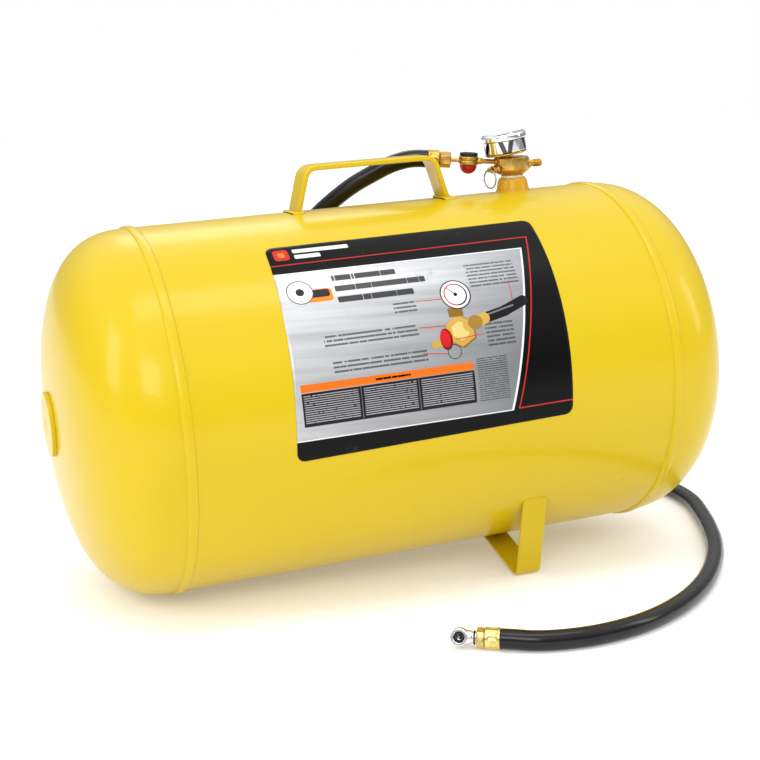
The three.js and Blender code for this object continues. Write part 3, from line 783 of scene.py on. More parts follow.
def girth_bead(name, side, paint):
    """A laid weld bead: a low crown with faint scallops where the torch moved on."""
    steps = 14
    half = BEAD_WIDTH / 2
    crown = [(TANK_RADIUS + BEAD_HEIGHT * 0.96 * (1 - (2 * i / steps - 1) ** 2) ** 0.5 + 0.05,
              half * (2 * i / steps - 1)) for i in range(steps + 1)]
    floor = TANK_RADIUS - 0.4
    profile = [(floor, half), (floor, -half)] + crown + [(floor, half)]
    shape = lathe(profile, 420, 0.0)

    def ripple(co):
        angle = math.atan2(co.y, co.x)
        out = max(math.hypot(co.x, co.y) - TANK_RADIUS, 0.0) / BEAD_HEIGHT
        wave = math.sin(angle * 150 + 2.2 * (co.z / half) ** 2)
        wander = noise.noise(Vector((math.cos(angle) * 9, math.sin(angle) * 9, side * 3.0)))
        lift = out * (0.10 * wave + 0.22 * wander - 0.25)
        scale = 1 + lift / TANK_RADIUS
        return Vector((co.x * scale, co.y * scale, co.z + 0.35 * wander * out))

    seat = Matrix.Translation((side * (TANK_LENGTH + GAP) / 2, 0, 0)) @ ALONG_X
    node = name.replace("bead", "weld")
    place_piece(name, move_verts(shape, ripple), TANK @ seat, paint, "tank", [node], 60.0)


def bead_strip(length, width, height, along_steps, seed):
    """A weld bead on the flat, along X: crowned, with scallops and tapered ends."""
    shape = bmesh.new()
    bmesh.ops.create_grid(shape, x_segments=along_steps, y_segments=10, size=1.0)

    def lay(co):
        taper = min(1.0, (1 - abs(co.x)) * length / 2 / width * 2.0) ** 0.5
        crown = max(1 - co.y ** 2, 0.0) ** 0.5 * taper
        wander = noise.noise(Vector((co.x * length / 9, seed, 0.0)))
        wave = math.sin(co.x * length / 2 * 1.9 + 2.0 * co.y ** 2)
        return Vector((co.x * length / 2, co.y * width / 2 * (0.35 + 0.65 * taper) + 0.3 * wander,
                       crown * (height * 0.88 + 0.1 * wave + 0.15 * wander) - 0.15))

    return move_verts(shape, lay)


def make_seam(paint):
    length = TANK_LENGTH - BEAD_WIDTH
    shape = bead_strip(length, 6.0, 1.0, 260, 4.0)

    def wrap(co):
        angle = math.radians(SEAM_ANGLE) + co.y / TANK_RADIUS
        reach = TANK_RADIUS + co.z
        return Vector((co.x, math.sin(angle) * reach, -math.cos(angle) * reach))

    move_verts(shape, wrap)
    bmesh.ops.recalc_face_normals(shape, faces=shape.faces)
    face_outward(place_piece("seam_bead", shape, TANK, paint, "tank", ["seam_weld"], 60.0))


def make_end_pad(paint):
    crown = TANK_LENGTH / 2 + GAP + HEAD_DEPTH
    top = crown + PAD_THICKNESS
    profile = [(0, crown - 0.4), (PAD_RADIUS, crown - 0.4), (PAD_RADIUS, top - 0.4), (PAD_RADIUS - 0.8, top)]
    profile += [(9.0, top), (7.5, top - 0.5), (0, top - 0.5)]
    shape = lathe(profile, 96, 0.5)
    place_piece("end_boss", shape, TANK @ turned(-90, "Y"), paint, "tank", ["end_pad"])


def make_handle(paint):
    base = TANK_RADIUS - HANDLE_THICKNESS
    top = TANK_RADIUS + HANDLE_RISE - HANDLE_THICKNESS / 2
    foot, shoulder = HANDLE_BASE / 2, HANDLE_TOP / 2
    line = rounded([(-foot, base), (-shoulder, top), (shoulder, top), (foot, base)], HANDLE_BEND, 10)
    shape = bent_strap(line, HANDLE_WIDTH, HANDLE_THICKNESS, lambda p, across: (p.x, across, p.y))
    place_piece("carry_handle", shape, TANK, paint, "tank", ["handle"])
    for side, node in ((-1, "handle_weld_left"), (1, "handle_weld_right")):
        shape = join_shapes(*handle_beads(side))
        place_piece(node.replace("weld", "fillet"), shape, TANK, paint, "tank", [node], 60.0)


def handle_beads(side):
    """The four weld beads round one foot of the handle: one along each of its sides."""
    foot = side * HANDLE_BASE / 2
    beads = []
    for face in (-1, 1):
        lean = turned(-face * BEAD_LEAN, "X")
        strip = bead_strip(HANDLE_WIDTH + 5, 5.6, 2.3, 40, side + 2.0 * face)
        seat = Matrix.Translation((foot + face * (HANDLE_THICKNESS / 2 + 1.2), 0, TANK_RADIUS - 0.2))
        beads.append(shifted(strip, seat @ turned(90, "Z") @ lean))
        strip = bead_strip(HANDLE_THICKNESS + 6, 4.6, 2.0, 14, side - 5.0 * face)
        seat = Matrix.Translation((foot, face * (HANDLE_WIDTH / 2 + 1.0), TANK_RADIUS - 0.5))
        beads.append(shifted(strip, seat @ lean))
    return beads


def make_feet(paint):
    corners = [(abs(y), z) for y, z in FOOT_CORNERS]
    middle = FOOT_STATION + FOOT_WIDTH / 2
    for name, side, node in (("front_strap_foot", -1, "front_foot"), ("rear_strap_foot", 1, "rear_foot")):
        line = rounded(corners, FOOT_BEND, 10)
        strap = bent_strap(line, FOOT_WIDTH, FOOT_THICKNESS, lambda p, a: (middle + a, side * p.x, p.y))
        for (y, z), lean in ((corners[0], 1), (corners[-1], -1)):
            angle = math.atan2(z, side * y)
            strip = bead_strip(FOOT_WIDTH, 5.0, 2.0, 36, 3.0 * lean + side)
            seat = Matrix.Translation((middle, math.cos(angle) * TANK_RADIUS, math.sin(angle) * TANK_RADIUS))
            strap = join_shapes(strap, shifted(strip, seat @ turned(math.degrees(angle) - 90, "X")))
        place_piece(name, strap, TANK, paint, "tank", [node])


# The sticker.

LABEL_CORNERS = [(-130.3, -1.5), (111.8, 4.5), (117.0, 189.8), (-121.8, 188.3)]
LABEL_WIDTH = 242.0
LABEL_HEIGHT = 186.0
LABEL_CORNER = 7.0
LABEL_CELL = 2.0
LABEL_LOW = -8.0
LABEL_LIFT = 0.32
LABEL_THICKNESS = 0.25
# The print's map: its origin is left of and below the sticker, and its unit is the span.
LABEL_SPAN = 260.0
LABEL_LEFT = 135.0
LABEL_FOOT = 5.0


def label_corner(x, y):
    """Draws the corner of a rectangle in to a round one."""
    reach_x, reach_y = LABEL_WIDTH / 2 - LABEL_CORNER, LABEL_HEIGHT / 2 - LABEL_CORNER
    dx, dy = abs(x) - reach_x, abs(y) - reach_y
    if dx <= 0 or dy <= 0:
        return x, y
    scale = max(dx, dy) / math.hypot(dx, dy)
    return math.copysign(reach_x + dx * scale, x), math.copysign(reach_y + dy * scale, y)


def label_spot(co):
    """Where a point of the flat unit grid lies on the tank's unrolled skin."""
    low_left, low_right, high_right, high_left = (Vector(c) for c in LABEL_CORNERS)
    x, y = label_corner(co.x * LABEL_WIDTH / 2, co.y * LABEL_HEIGHT / 2)
    u, w = x / LABEL_WIDTH + 0.5, y / LABEL_HEIGHT + 0.5
    low, high = low_left * (1 - u) + low_right * u, high_left * (1 - u) + high_right * u
    return low * (1 - w) + high * w


def make_label(film):
    shape = bmesh.new()
    cells = (int(LABEL_WIDTH / LABEL_CELL), int(LABEL_HEIGHT / LABEL_CELL))
    bmesh.ops.create_grid(shape, x_segments=cells[0], y_segments=cells[1], size=1.0)
    sheet = shape.loops.layers.uv.new("sheet")
    flat = {v.index: label_spot(v.co) for v in shape.verts}
    for face in shape.faces:
        for loop in face.loops:
            spot = flat[loop.vert.index]
            loop[sheet].uv = ((spot.x + LABEL_LEFT) / LABEL_SPAN, (spot.y + LABEL_FOOT) / LABEL_SPAN)
    for v in shape.verts:
        spot = flat[v.index]
        angle = math.radians(LABEL_LOW) + spot.y / TANK_RADIUS
        reach = TANK_RADIUS + LABEL_LIFT + 0.05 * noise.noise(Vector((spot.x / 14, spot.y / 14, 0)))
        v.co = Vector((spot.x, -math.cos(angle) * reach, math.sin(angle) * reach))
    shape.normal_update()
    piece = place_piece("sticker", shape, TANK, film, "tank", ["label"], 180.0)
    face_outward(piece)
    thick = piece.modifiers.new("film", "SOLIDIFY")
    thick.thickness = LABEL_THICKNESS * MM
    thick.offset = -1.0


# The brass fittings.

def make_bung(paint):
    skin = TANK_RADIUS
    profile = [
        (0, skin - 6), (16.8, skin - 6), (16.2, skin - 0.6), (15.4, skin + 0.5), (14.8, skin + 1.6),
        (13.0, BUNG_TOP - 2.4), (11.2, BUNG_TOP), (BUNG_BORE, BUNG_TOP), (BUNG_BORE, BUNG_TOP - 6),
        (0, BUNG_TOP - 6),
    ]

    def drape(co):
        if co.z > skin + 1.7:
            return co
        drop = skin - math.sqrt(skin ** 2 - co.y ** 2)
        wave = 0.25 * noise.noise(Vector((co.x / 3, co.y / 3, 0)))
        return Vector((co.x, co.y, co.z - drop + wave))

    shape = move_verts(lathe(profile, 96, 0.9), drape)
    seat = Matrix.Translation((BUNG_STATION, 0, 0))
    place_piece("welded_bung", shape, TANK @ seat, paint, "tank", ["bung"], 50.0)


def make_tape(tape):
    """Wound tape: its turns stand out in thin uneven layers under the block."""
    low = BUNG_TOP - 0.4
    high = low + TAPE_THICKNESS + 0.9
    profile = [(TAPE_BORE, low)]
    for i in range(TAPE_TURNS):
        z = low + (high - low) * i / TAPE_TURNS
        profile += [(TAPE_RADIUS + 0.25 * (i % 2), z + 0.05), (TAPE_RADIUS + 0.2 - 0.2 * (i % 2), z + 0.4)]
    profile += [(TAPE_BORE, high), (TAPE_BORE, low)]

    def rag(co):
        pull = 1 + 0.02 * noise.noise(co / 2.5)
        return Vector((co.x * pull, co.y * pull, co.z))

    shape = move_verts(lathe(profile, 72, 0.08), rag)
    seat = Matrix.Translation((BUNG_STATION, 0, 0))
    place_piece("seal_tape", shape, TANK @ seat, tape, "tank", ["thread_tape"])


def make_block(metal):
    reach = BLOCK_CORNER
    profile = [
        (BLOCK_BORE, 0.2), (11.0, 0.2), (reach, 4.7), (reach, BLOCK_HEIGHT - 1), (reach - 1.2, BLOCK_HEIGHT),
        (BLOCK_BORE, BLOCK_HEIGHT), (BLOCK_BORE, 0.2),
    ]
    block = shifted(ease_edges(lathe(profile, 8, 0.0), 0.5), turned(22.5, "Z"))
    shank = lathe(ring_profile(BLOCK_BORE, SHANK_RADIUS, 0.6, -11), 48, 0.2)
    collars = []
    for port, bore, reach in ((OUTLET, 3.4, 5.0), (RELIEF, 3.0, 5.0), (FILL, 3.2, 5.2)):
        profile = [(bore, 13.4), (reach, 13.4), (reach, 15.3), (bore + 0.4, 15.3), (bore, 13.4)]
        collar = lathe(profile, 40, 0.25)
        seat = Matrix.Translation((0, 0, port["height"])) @ turned(port["azimuth"], "Z")
        collars.append(shifted(collar, seat @ turned(-port["rise"], "Y") @ ALONG_X))
    shape = join_shapes(block, shank, *collars)
    place_piece("manifold", shape, BLOCK, metal, "tank", ["manifold_block"], 28.0)


def make_gauge(metal, plate, mirror, white, glass, ink, red):
    drum = DRUM_RADIUS
    rim = GAUGE_HEIGHT - 3.4
    dial = rim - 3.4
    back = [
        (GAUGE_STEM, -1.4), (7.5, -1.4), (7.5, 0.1), (drum - 1.0, 0.1), (drum, 0.8), (drum, 1.8),
        (GAUGE_STEM, 1.8), (GAUGE_STEM, -1.4),
    ]
    place_piece("gauge_back_plate", lathe(back, 96), GAUGE, metal, "tank", ["gauge_back"])
    case = [
        (3.6, 2.1), (drum - 0.6, 2.1), (drum, 2.9), (drum, rim - 1.9), (drum, rim), (DRUM_INSIDE, rim),
        (DRUM_INSIDE, 3.1), (3.6, 3.1), (3.6, 2.1),
    ]
    place_piece("gauge_drum", lathe(case, 128), GAUGE, mirror, "tank", ["gauge_case"])
    bezel = lathe(bezel_profile(rim), 128, 0.6)
    place_piece("gauge_rim", bezel, GAUGE, plate, "tank", ["gauge_bezel"])
    face = ring_profile(DIAL_HOLE, DRUM_INSIDE - GAP, dial, dial + 0.8)
    place_piece("gauge_face", lathe(face, 96, 0.1), GAUGE, white, "tank", ["gauge_dial"])
    lens = ring_profile(0, DRUM_INSIDE - GAP, rim - 1.6, rim)[:-1]
    place_piece("gauge_window", lathe(lens, 96, 0.15), GAUGE, glass, "tank", ["gauge_lens"])
    make_scale(dial + 0.8, DRUM_INSIDE - 1.0, ink, red)


def bezel_profile(rim):
    """The bezel in section: a skirt outside the drum and a lip over the lens."""
    lip = DRUM_INSIDE - 1.4
    skirt = DRUM_RADIUS + GAP
    return [
        (lip, rim + GAP), (skirt, rim + GAP), (skirt, rim - 2.2), (GAUGE_RADIUS - 0.3, rim - 2.2),
        (GAUGE_RADIUS, rim - 1.6), (GAUGE_RADIUS, GAUGE_HEIGHT - 1.8), (GAUGE_RADIUS - 1.3, GAUGE_HEIGHT),
        (lip + 1, GAUGE_HEIGHT - 0.8), (lip, rim + GAP),
    ]


DIAL_ZERO = 225.0
DIAL_SWEEP = 270.0
DIAL_TOP = 160
DIAL_MAJORS = 8
DIAL_RED_FROM = 0.78


def dial_angle(share):
    """The angle in degrees of a share of the scale, which runs clockwise."""
    return DIAL_ZERO - DIAL_SWEEP * share


def make_scale(level, reach, ink, red):
    """The printed scale: ticks, numbers and a red end band, as thin prints on the face."""
    place_piece("dial_ticks", dial_ticks(level, reach), GAUGE, ink, "tank")
    place_piece("dial_red_band", red_band(level, reach), GAUGE, red, "tank")
    place_numbers(level, reach - 4.9, ink)


def dial_ticks(level, reach):
    ticks = bmesh.new()
    steps = DIAL_MAJORS * 4
    for i in range(steps + 1):
        length, width = (2.2, 0.42) if i % 4 == 0 else (1.2, 0.22)
        out = Matrix.Translation((reach - 0.6 - length / 2, 0, level + 0.05))
        size = Matrix.Diagonal((length, width, 0.08, 1))
        bmesh.ops.create_cube(ticks, size=1.0, matrix=turned(dial_angle(i / steps), "Z") @ out @ size)
    return ticks


def red_band(level, reach):
    """A thin ring at the scale's edge, less all but its last part."""
    band = lathe(ring_profile(reach - 0.5, reach, level, level + 0.07), 180, 0.0)
    gone = []
    for part in band.faces:
        middle = part.calc_center_median()
        angle = math.degrees(math.atan2(middle.y, middle.x))
        if not dial_angle(1.0) <= angle <= dial_angle(DIAL_RED_FROM):
            gone.append(part)
    bmesh.ops.delete(band, geom=gone, context="FACES")
    bmesh.ops.holes_fill(band, edges=[e for e in band.edges if e.is_boundary], sides=8)
    return band


def place_numbers(level, reach, ink):
    digits = bmesh.new()
    for i in range(0, DIAL_MAJORS + 1, 2):
        words = bpy.data.curves.new("number", "FONT")
        words.body = str(DIAL_TOP * i // DIAL_MAJORS)
        words.size = 3.4
        words.align_x = "CENTER"
        words.align_y = "CENTER"
        words.extrude = 0.04
        words.resolution_u = 3
        holder = bpy.data.objects.new("number", words)
        bpy.context.scene.collection.objects.link(holder)
        bpy.context.view_layer.update()
        mesh = bpy.data.meshes.new_from_object(holder.evaluated_get(bpy.context.evaluated_depsgraph_get()))
        angle = math.radians(dial_angle(i / DIAL_MAJORS))
        spot = Matrix.Translation((reach * math.cos(angle), reach * math.sin(angle), level + 0.05))
        mesh.transform(spot @ turned(-90, "Z"))
        digits.from_mesh(mesh)
        bpy.data.meshes.remove(mesh)
        bpy.data.objects.remove(holder)
        bpy.data.curves.remove(words)
    place_piece("dial_numbers", digits, GAUGE, ink, "tank")


def make_relief(metal, wire):
    place = port_place(RELIEF)
    face = BLOCK_CORNER + GAP
    end = face + RELIEF_LENGTH
    inner = face - PORT_SEAT
    groove = RELIEF_RADIUS - 0.5
    barrel = [
        (1.6, inner), (2.8, inner), (2.8, face), (RELIEF_RADIUS, face), (RELIEF_RADIUS, face + 1.6),
        (groove, face + 2.1), (groove, face + 2.7), (RELIEF_RADIUS, face + 3.2), (RELIEF_RADIUS, end - 0.4),
        (3.2, end), (1.4, end), (1.4, end - 1), (RELIEF_BORE, end - 1), (RELIEF_BORE, inner + 1),
        (1.6, inner + 1), (1.6, inner),
    ]
    shape = lathe(barrel, 56, 0.15)
    place_piece("relief_body", shape, place @ ALONG_X, metal, "tank", ["relief_barrel"])
    hang = Matrix.Translation((end + RING_EYE, 0, -RING_RADIUS)) @ turned(90, "Y")
    ring = shifted(ring_wire(RING_RADIUS, RING_WIRE), hang)
    place_piece("pull_ring", ring, place, wire, "relief_ring", ["relief_ring"], 60.0)


def thread(start, end, crest, depth, pitch):
    """Profile points for ridges that stand for a screw thread."""
    root = crest - depth
    turns = int((end - start) / pitch)
    line = []
    for i in range(turns):
        z = start + i * pitch
        line += [(root, z), (crest, z + pitch * 0.35), (crest, z + pitch * 0.6)]
    return line + [(root, start + turns * pitch)]


def make_fill(metal):
    place = port_place(FILL)
    face = BLOCK_FLATS / 2 + 2 * GAP
    mouth = face + FILL_LENGTH
    profile = [
        (FILL_BORE, face - PORT_SEAT), (2.9, face - PORT_SEAT), (2.9, face), (4.3, face + 0.2),
        (4.3, face + 2.6), (2.9, face + 3.2), (2.9, face + 6.4),
    ]
    profile += thread(face + 6.6, mouth - 0.8, FILL_RADIUS, 0.4, 0.8)
    profile += [(3.1, mouth), (2.3, mouth), (FILL_BORE, mouth - 0.5), (FILL_BORE, face - PORT_SEAT)]
    shape = lathe(profile, 64, 0.1)
    place_piece("fill_body", shape, place @ ALONG_X, metal, "tank", ["fill_valve"])


def make_outlet(metal, red, black):
    place = port_place(OUTLET)
    centre = place @ Matrix.Translation((COCK_DISTANCE, 0, 0))
    near, far = COCK_DISTANCE - COCK_RADIUS, COCK_DISTANCE + COCK_RADIUS
    pipe = [
        (PIPE_BORE, 10), (PIPE_RADIUS, 10), (PIPE_RADIUS, near - 3.4), (3.0, near - 3.0), (3.0, near + 1.0),
        (PIPE_RADIUS, near + 2.7), (PIPE_BORE, near + 2.7), (PIPE_BORE, 10),
    ]
    place_piece("outlet_stub", lathe(pipe, 48, 0.2), place @ ALONG_X, metal, "tank", ["outlet_pipe"])
    body = lathe(cock_profile(), 96, 0.2)
    place_piece("cock_disc", body, centre, metal, "tank", ["cock_body"])
    knob = lathe(knob_profile(), 96, 0.12)
    place_piece("red_knob", knob, centre, red, "cock_handle", ["cock_knob"])
    floor = COCK_HEIGHT / 2 + GAP
    cap = [
        (0, floor), (CAP_RADIUS, floor), (CAP_RADIUS, floor + 2.7), (7.4, floor + 3.3), (5.4, floor + 3.3),
        (4.9, floor + 2.9), (0, floor + 2.9),
    ]
    place_piece("cock_top", lathe(cap, 96, 0.3), centre, black, "tank", ["cock_cap"])
    make_swivel(place, far - 3 + GAP, metal)


def cock_profile():
    """The cock's round body in section, with a groove round its middle."""
    half = COCK_HEIGHT / 2
    reach, groove = COCK_RADIUS, COCK_RADIUS - 0.45
    return [
        (COCK_BORE, -half), (reach - 0.9, -half), (reach, -half + 0.9), (reach, -0.8), (groove, -0.3),
        (groove, 0.5), (reach, 1.0), (reach, half - 0.7), (reach - 0.7, half), (COCK_BORE, half),
        (COCK_BORE, -half),
    ]


def knob_profile():
    """The knob in section: a dome that hangs under the cock, with a socket for the plug."""
    top = -COCK_HEIGHT / 2 - GAP
    floor = top - 4.0
    quarter = [math.pi / 2 * i / 14 for i in range(14)]
    dome = [(KNOB_RADIUS * math.sin(a), top - KNOB_RADIUS * math.cos(a)) for a in quarter]
    return dome + [(KNOB_RADIUS, top - 0.5), (KNOB_RADIUS - 0.4, top), (3.3, top), (3.3, floor), (0, floor)]


def make_swivel(place, start, metal):
    end = NUT_START + NUT_LENGTH
    low, high = NUT_START + 2.4, NUT_START + 3.8
    pipe = [
        (PIPE_BORE, start), (TAIL_RADIUS, start), (TAIL_RADIUS, low), (TAIL_FLANGE, low), (TAIL_FLANGE, high),
        (PIPE_BORE, high), (PIPE_BORE, start),
    ]
    place_piece("tail_stub", lathe(pipe, 48, 0.15), place @ ALONG_X, metal, "tank", ["outlet_tail"])
    reach = NUT_FLATS / 2 / math.cos(math.pi / 6)
    bore = TAIL_FLANGE + 0.4
    nut = [
        (2.2, NUT_START), (reach - 1.1, NUT_START), (reach, NUT_START + 0.9), (reach, end - 0.9),
        (reach - 1.1, end), (bore, end), (bore, NUT_START + 2.0), (2.2, NUT_START + 2.0), (2.2, NUT_START),
    ]
    shape = ease_edges(lathe(nut, 6, 0.0), NUT_EASE)
    place_piece("hose_swivel", shape, place @ ALONG_X, metal, "swivel_nut", ["swivel_nut"], 28.0)


def crimped_ferrule(start, end, spigot=None):
    """A brass ferrule pressed on the hose: plain ends and crimped flats round its middle.

    A spigot is a (radius, height) that a thinner end starts from."""
    length = end - start
    reach, bore = FERRULE_RADIUS, FERRULE_BORE
    line = [(reach, start + length * i / 20) for i in range(1, 20)]
    outside = [(reach - 0.5, start), (reach, start + 0.4)] + line + [(reach, end - 0.4), (reach - 0.5, end)]
    tip = (bore, start)
    if spigot:
        radius, low = spigot
        outside = [(radius, low), (radius, start)] + outside
        tip = (bore, low)
    shape = lathe([tip] + outside + [(bore, end), tip], CRIMPS * 10, 0.0)

    def crimp(co):
        radius = math.hypot(co.x, co.y)
        if radius < reach - 0.6:
            return co
        along = (co.z - start) / length
        band = min(max((along - 0.16) / 0.10, 0.0), 1.0) * min(max((0.84 - along) / 0.10, 0.0), 1.0)
        angle = math.atan2(co.y, co.x) * CRIMPS
        scale = 1 - band * 0.62 * (0.5 + 0.5 * math.cos(angle)) ** 0.7 / radius
        return Vector((co.x * scale, co.y * scale, co.z))

    return move_verts(shape, crimp)


def make_tank_ferrule(metal):
    start = NUT_START + NUT_LENGTH + GAP
    shape = crimped_ferrule(start, start + TANK_FERRULE, (TAIL_FLANGE, NUT_START + 3.8 + GAP))
    place = port_place(OUTLET) @ ALONG_X
    return place_piece("tank_end_ferrule", shape, place, metal, "tank", ["tank_ferrule"], 40.0)


def make_chuck(metal, plate, rubber, pin_steel):
    """The chuck on the hose's free end: ferrule, nut, and a ball whose mouth goes on a tyre valve."""
    along = CHUCK @ ALONG_X
    ferrule = crimped_ferrule(GAP, GAP + CHUCK_FERRULE)
    hexagon = hex_nut(CHUCK_NUT_FLATS, CHUCK_NUT_START, CHUCK_NUT_START + CHUCK_NUT, FERRULE_BORE, 0.9)
    start = CHUCK_NUT_START + CHUCK_NUT + GAP
    collar = shifted(ring_wire(4.9, 0.75), Matrix.Translation((start + 1.3, 0, 0)) @ ALONG_X)
    head = join_shapes(lathe(chuck_ball(), 96, 0.18), chuck_neck(start))
    low = CHUCK_FACE - 3.7
    washer = lathe([
        (1.9, low), (3.9, low), (3.9, low + 2.4), (3.4, low + 3.0), (2.4, low + 3.0), (1.9, low + 2.4),
        (1.9, low),
    ], 64, 0.3)
    pin = lathe([
        (0, -1), (1.1, -1), (1.1, CHUCK_FACE - 2.2), (0.6, CHUCK_FACE - 1.6), (0, CHUCK_FACE - 1.6),
    ], 40, 0.25)
    return [
        place_piece("chuck_crimp", ferrule, along, metal, "tank", ["chuck_ferrule"], 40.0),
        place_piece("chuck_hex", hexagon, along, metal, "tank", ["chuck_nut"], 28.0),
        place_piece("chuck_o_ring", collar, CHUCK, rubber, "tank"),
        place_piece("chuck_head", head, MOUTH, plate, "tank", ["chuck_body"]),
        place_piece("chuck_washer", washer, MOUTH, rubber, "tank", ["chuck_seal"]),
        place_piece("chuck_depressor", pin, MOUTH, pin_steel, "chuck_pin", ["chuck_pin"]),
    ]


def chuck_neck(start):
    """The neck from the nut into the ball, in the mouth's place."""
    end = CHUCK_CENTRE - 2.0
    neck = [
        (1.5, start), (4.6, start), (4.6, start + 2.6), (5.6, start + 4.0), (6.3, end - 0.6), (5.0, end),
        (1.5, end), (1.5, start),
    ]
    level = shifted(lathe(neck, 72, 0.4), Matrix.Translation((-CHUCK_CENTRE, 0, 0)) @ ALONG_X)
    return shifted(level, turned(90, "X"))


def chuck_ball():
    """The ball in section, with its mouth, the throat for the seal and the pin's well."""
    flare = math.asin(CHUCK_MOUTH / CHUCK_BALL)
    sweep = [(math.pi - flare) * i / 28 for i in range(29)]
    ball = [(CHUCK_BALL * math.sin(a), -CHUCK_BALL * math.cos(a)) for a in sweep]
    groove = CHUCK_MOUTH - 0.35
    return ball + [
        (CHUCK_MOUTH, 4.2), (CHUCK_MOUTH, 6.6), (groove, 6.9), (groove, 7.4), (CHUCK_MOUTH, 7.7),
        (CHUCK_MOUTH, CHUCK_FACE - 0.5), (CHUCK_MOUTH - 0.5, CHUCK_FACE), (CHUCK_THROAT + 0.5, CHUCK_FACE),
        (CHUCK_THROAT, CHUCK_FACE - 0.6), (CHUCK_THROAT, CHUCK_FACE - 4.0), (CHUCK_WELL, CHUCK_FACE - 4.0),
        (CHUCK_WELL, CHUCK_WELL_FLOOR), (0, CHUCK_WELL_FLOOR),
    ]


# The sticker's print. Measures are millimetres: x along the tank from its middle, y round it from the
# sticker's foot.

ORANGE = srgb(244, 122, 36)
SILVER_LIGHT = srgb(206, 207, 209)
SILVER_DARK = srgb(128, 130, 133)
INK_BLACK = srgb(8, 8, 9)
PANEL_GREY = srgb(38, 36, 41)
FINE_GREY = srgb(196, 196, 198)
PINSTRIPE = srgb(190, 44, 38)
PRINT_WHITE = srgb(232, 232, 234)
PRINT_GREY = srgb(70, 70, 74)
LINE_GREY = srgb(120, 120, 124)
POINTER_BLACK = srgb(20, 20, 22)
DRAWN_BLACK = srgb(30, 30, 32)
DRAWN_GREY = srgb(60, 60, 64)
DRAWN_GOLD = srgb(206, 166, 78)
DRAWN_GOLD_DARK = srgb(140, 104, 40)


def fine_print(made, area, pitch, fill, seed):
    """Rows of short dashes that stand for small print, with no letters in them."""
    left, low, right, high = area
    row = ((made.y - low) / pitch).floor()
    inside = ((made.y - low) / pitch).fraction()
    line = inside.ramp(0.18, 0.28) * (1.0 - inside.ramp(0.62, 0.72))
    spot = made.node("ShaderNodeCombineXYZ", X=made.x * 0.55, Y=row * 3.7 + seed, Z=0.0)
    words = made.noise(1.0, 1.0, 0.5, spot).ramp(fill - 0.03, fill + 0.03)
    return made.box(left, low, right, high) * line * words


def print_ground(made):
    """The black ground, the silver panel with its light edge, and the red pinstripe."""
    panel = made.box(-140.0, 15.6, 100.0, 155.2) * (1.0 - made.beside((55.9, 15.6), (94.6, 155.2)))
    rim = made.box(-140.0, 14.8, 101.0, 156.1) * (1.0 - made.beside((57.6, 14.8), (96.2, 156.1)))
    fade = (made.x * 0.004 - made.y * 0.0035 + 0.86).clamped()
    silver = made.mix(fade, SILVER_LIGHT, SILVER_DARK)
    brushed = made.noise(3.0, 3.0, 0.6, made.stretched((2.0, 40.0, 40.0)))
    silver = made.mix(brushed.ramp(0.35, 0.75) * 0.4, silver, srgb(118, 120, 124))
    made.ink(rim, srgb(236, 238, 240))
    made.ink(panel, silver)
    stripe = ((-124.0, 165.4), (105.5, 168.0), (62.8, 16.0), (112.5, 16.6))
    for start, end in zip(stripe, stripe[1:]):
        made.ink(made.stroke(start, end, 1.1), PINSTRIPE)
    return panel


def print_table(made):
    """The orange heading, and the dark table under it with three columns of fine print."""
    made.ink(made.box(-122.6, 26.0, 25.0, 52.6, 1.0), PANEL_GREY)
    made.ink(made.box(-122.6, 53.2, 25.0, 59.4, 0.6), ORANGE)
    for left, right, seed in ((-121.0, -75.5, 1.0), (-71.0, -26.0, 21.0), (-21.8, 23.0, 41.0)):
        made.ink(fine_print(made, (left, 28.5, right, 51.0), 1.75, 0.33, seed), FINE_GREY, 0.7)
    for x in (-73.3, -24.0):
        made.ink(made.box(x - 0.25, 27.0, x + 0.25, 52.0), LINE_GREY)
    made.ink(fine_print(made, (-60.0, 54.4, -30.0, 58.2), 3.8, 0.40, 61.0), INK_BLACK)


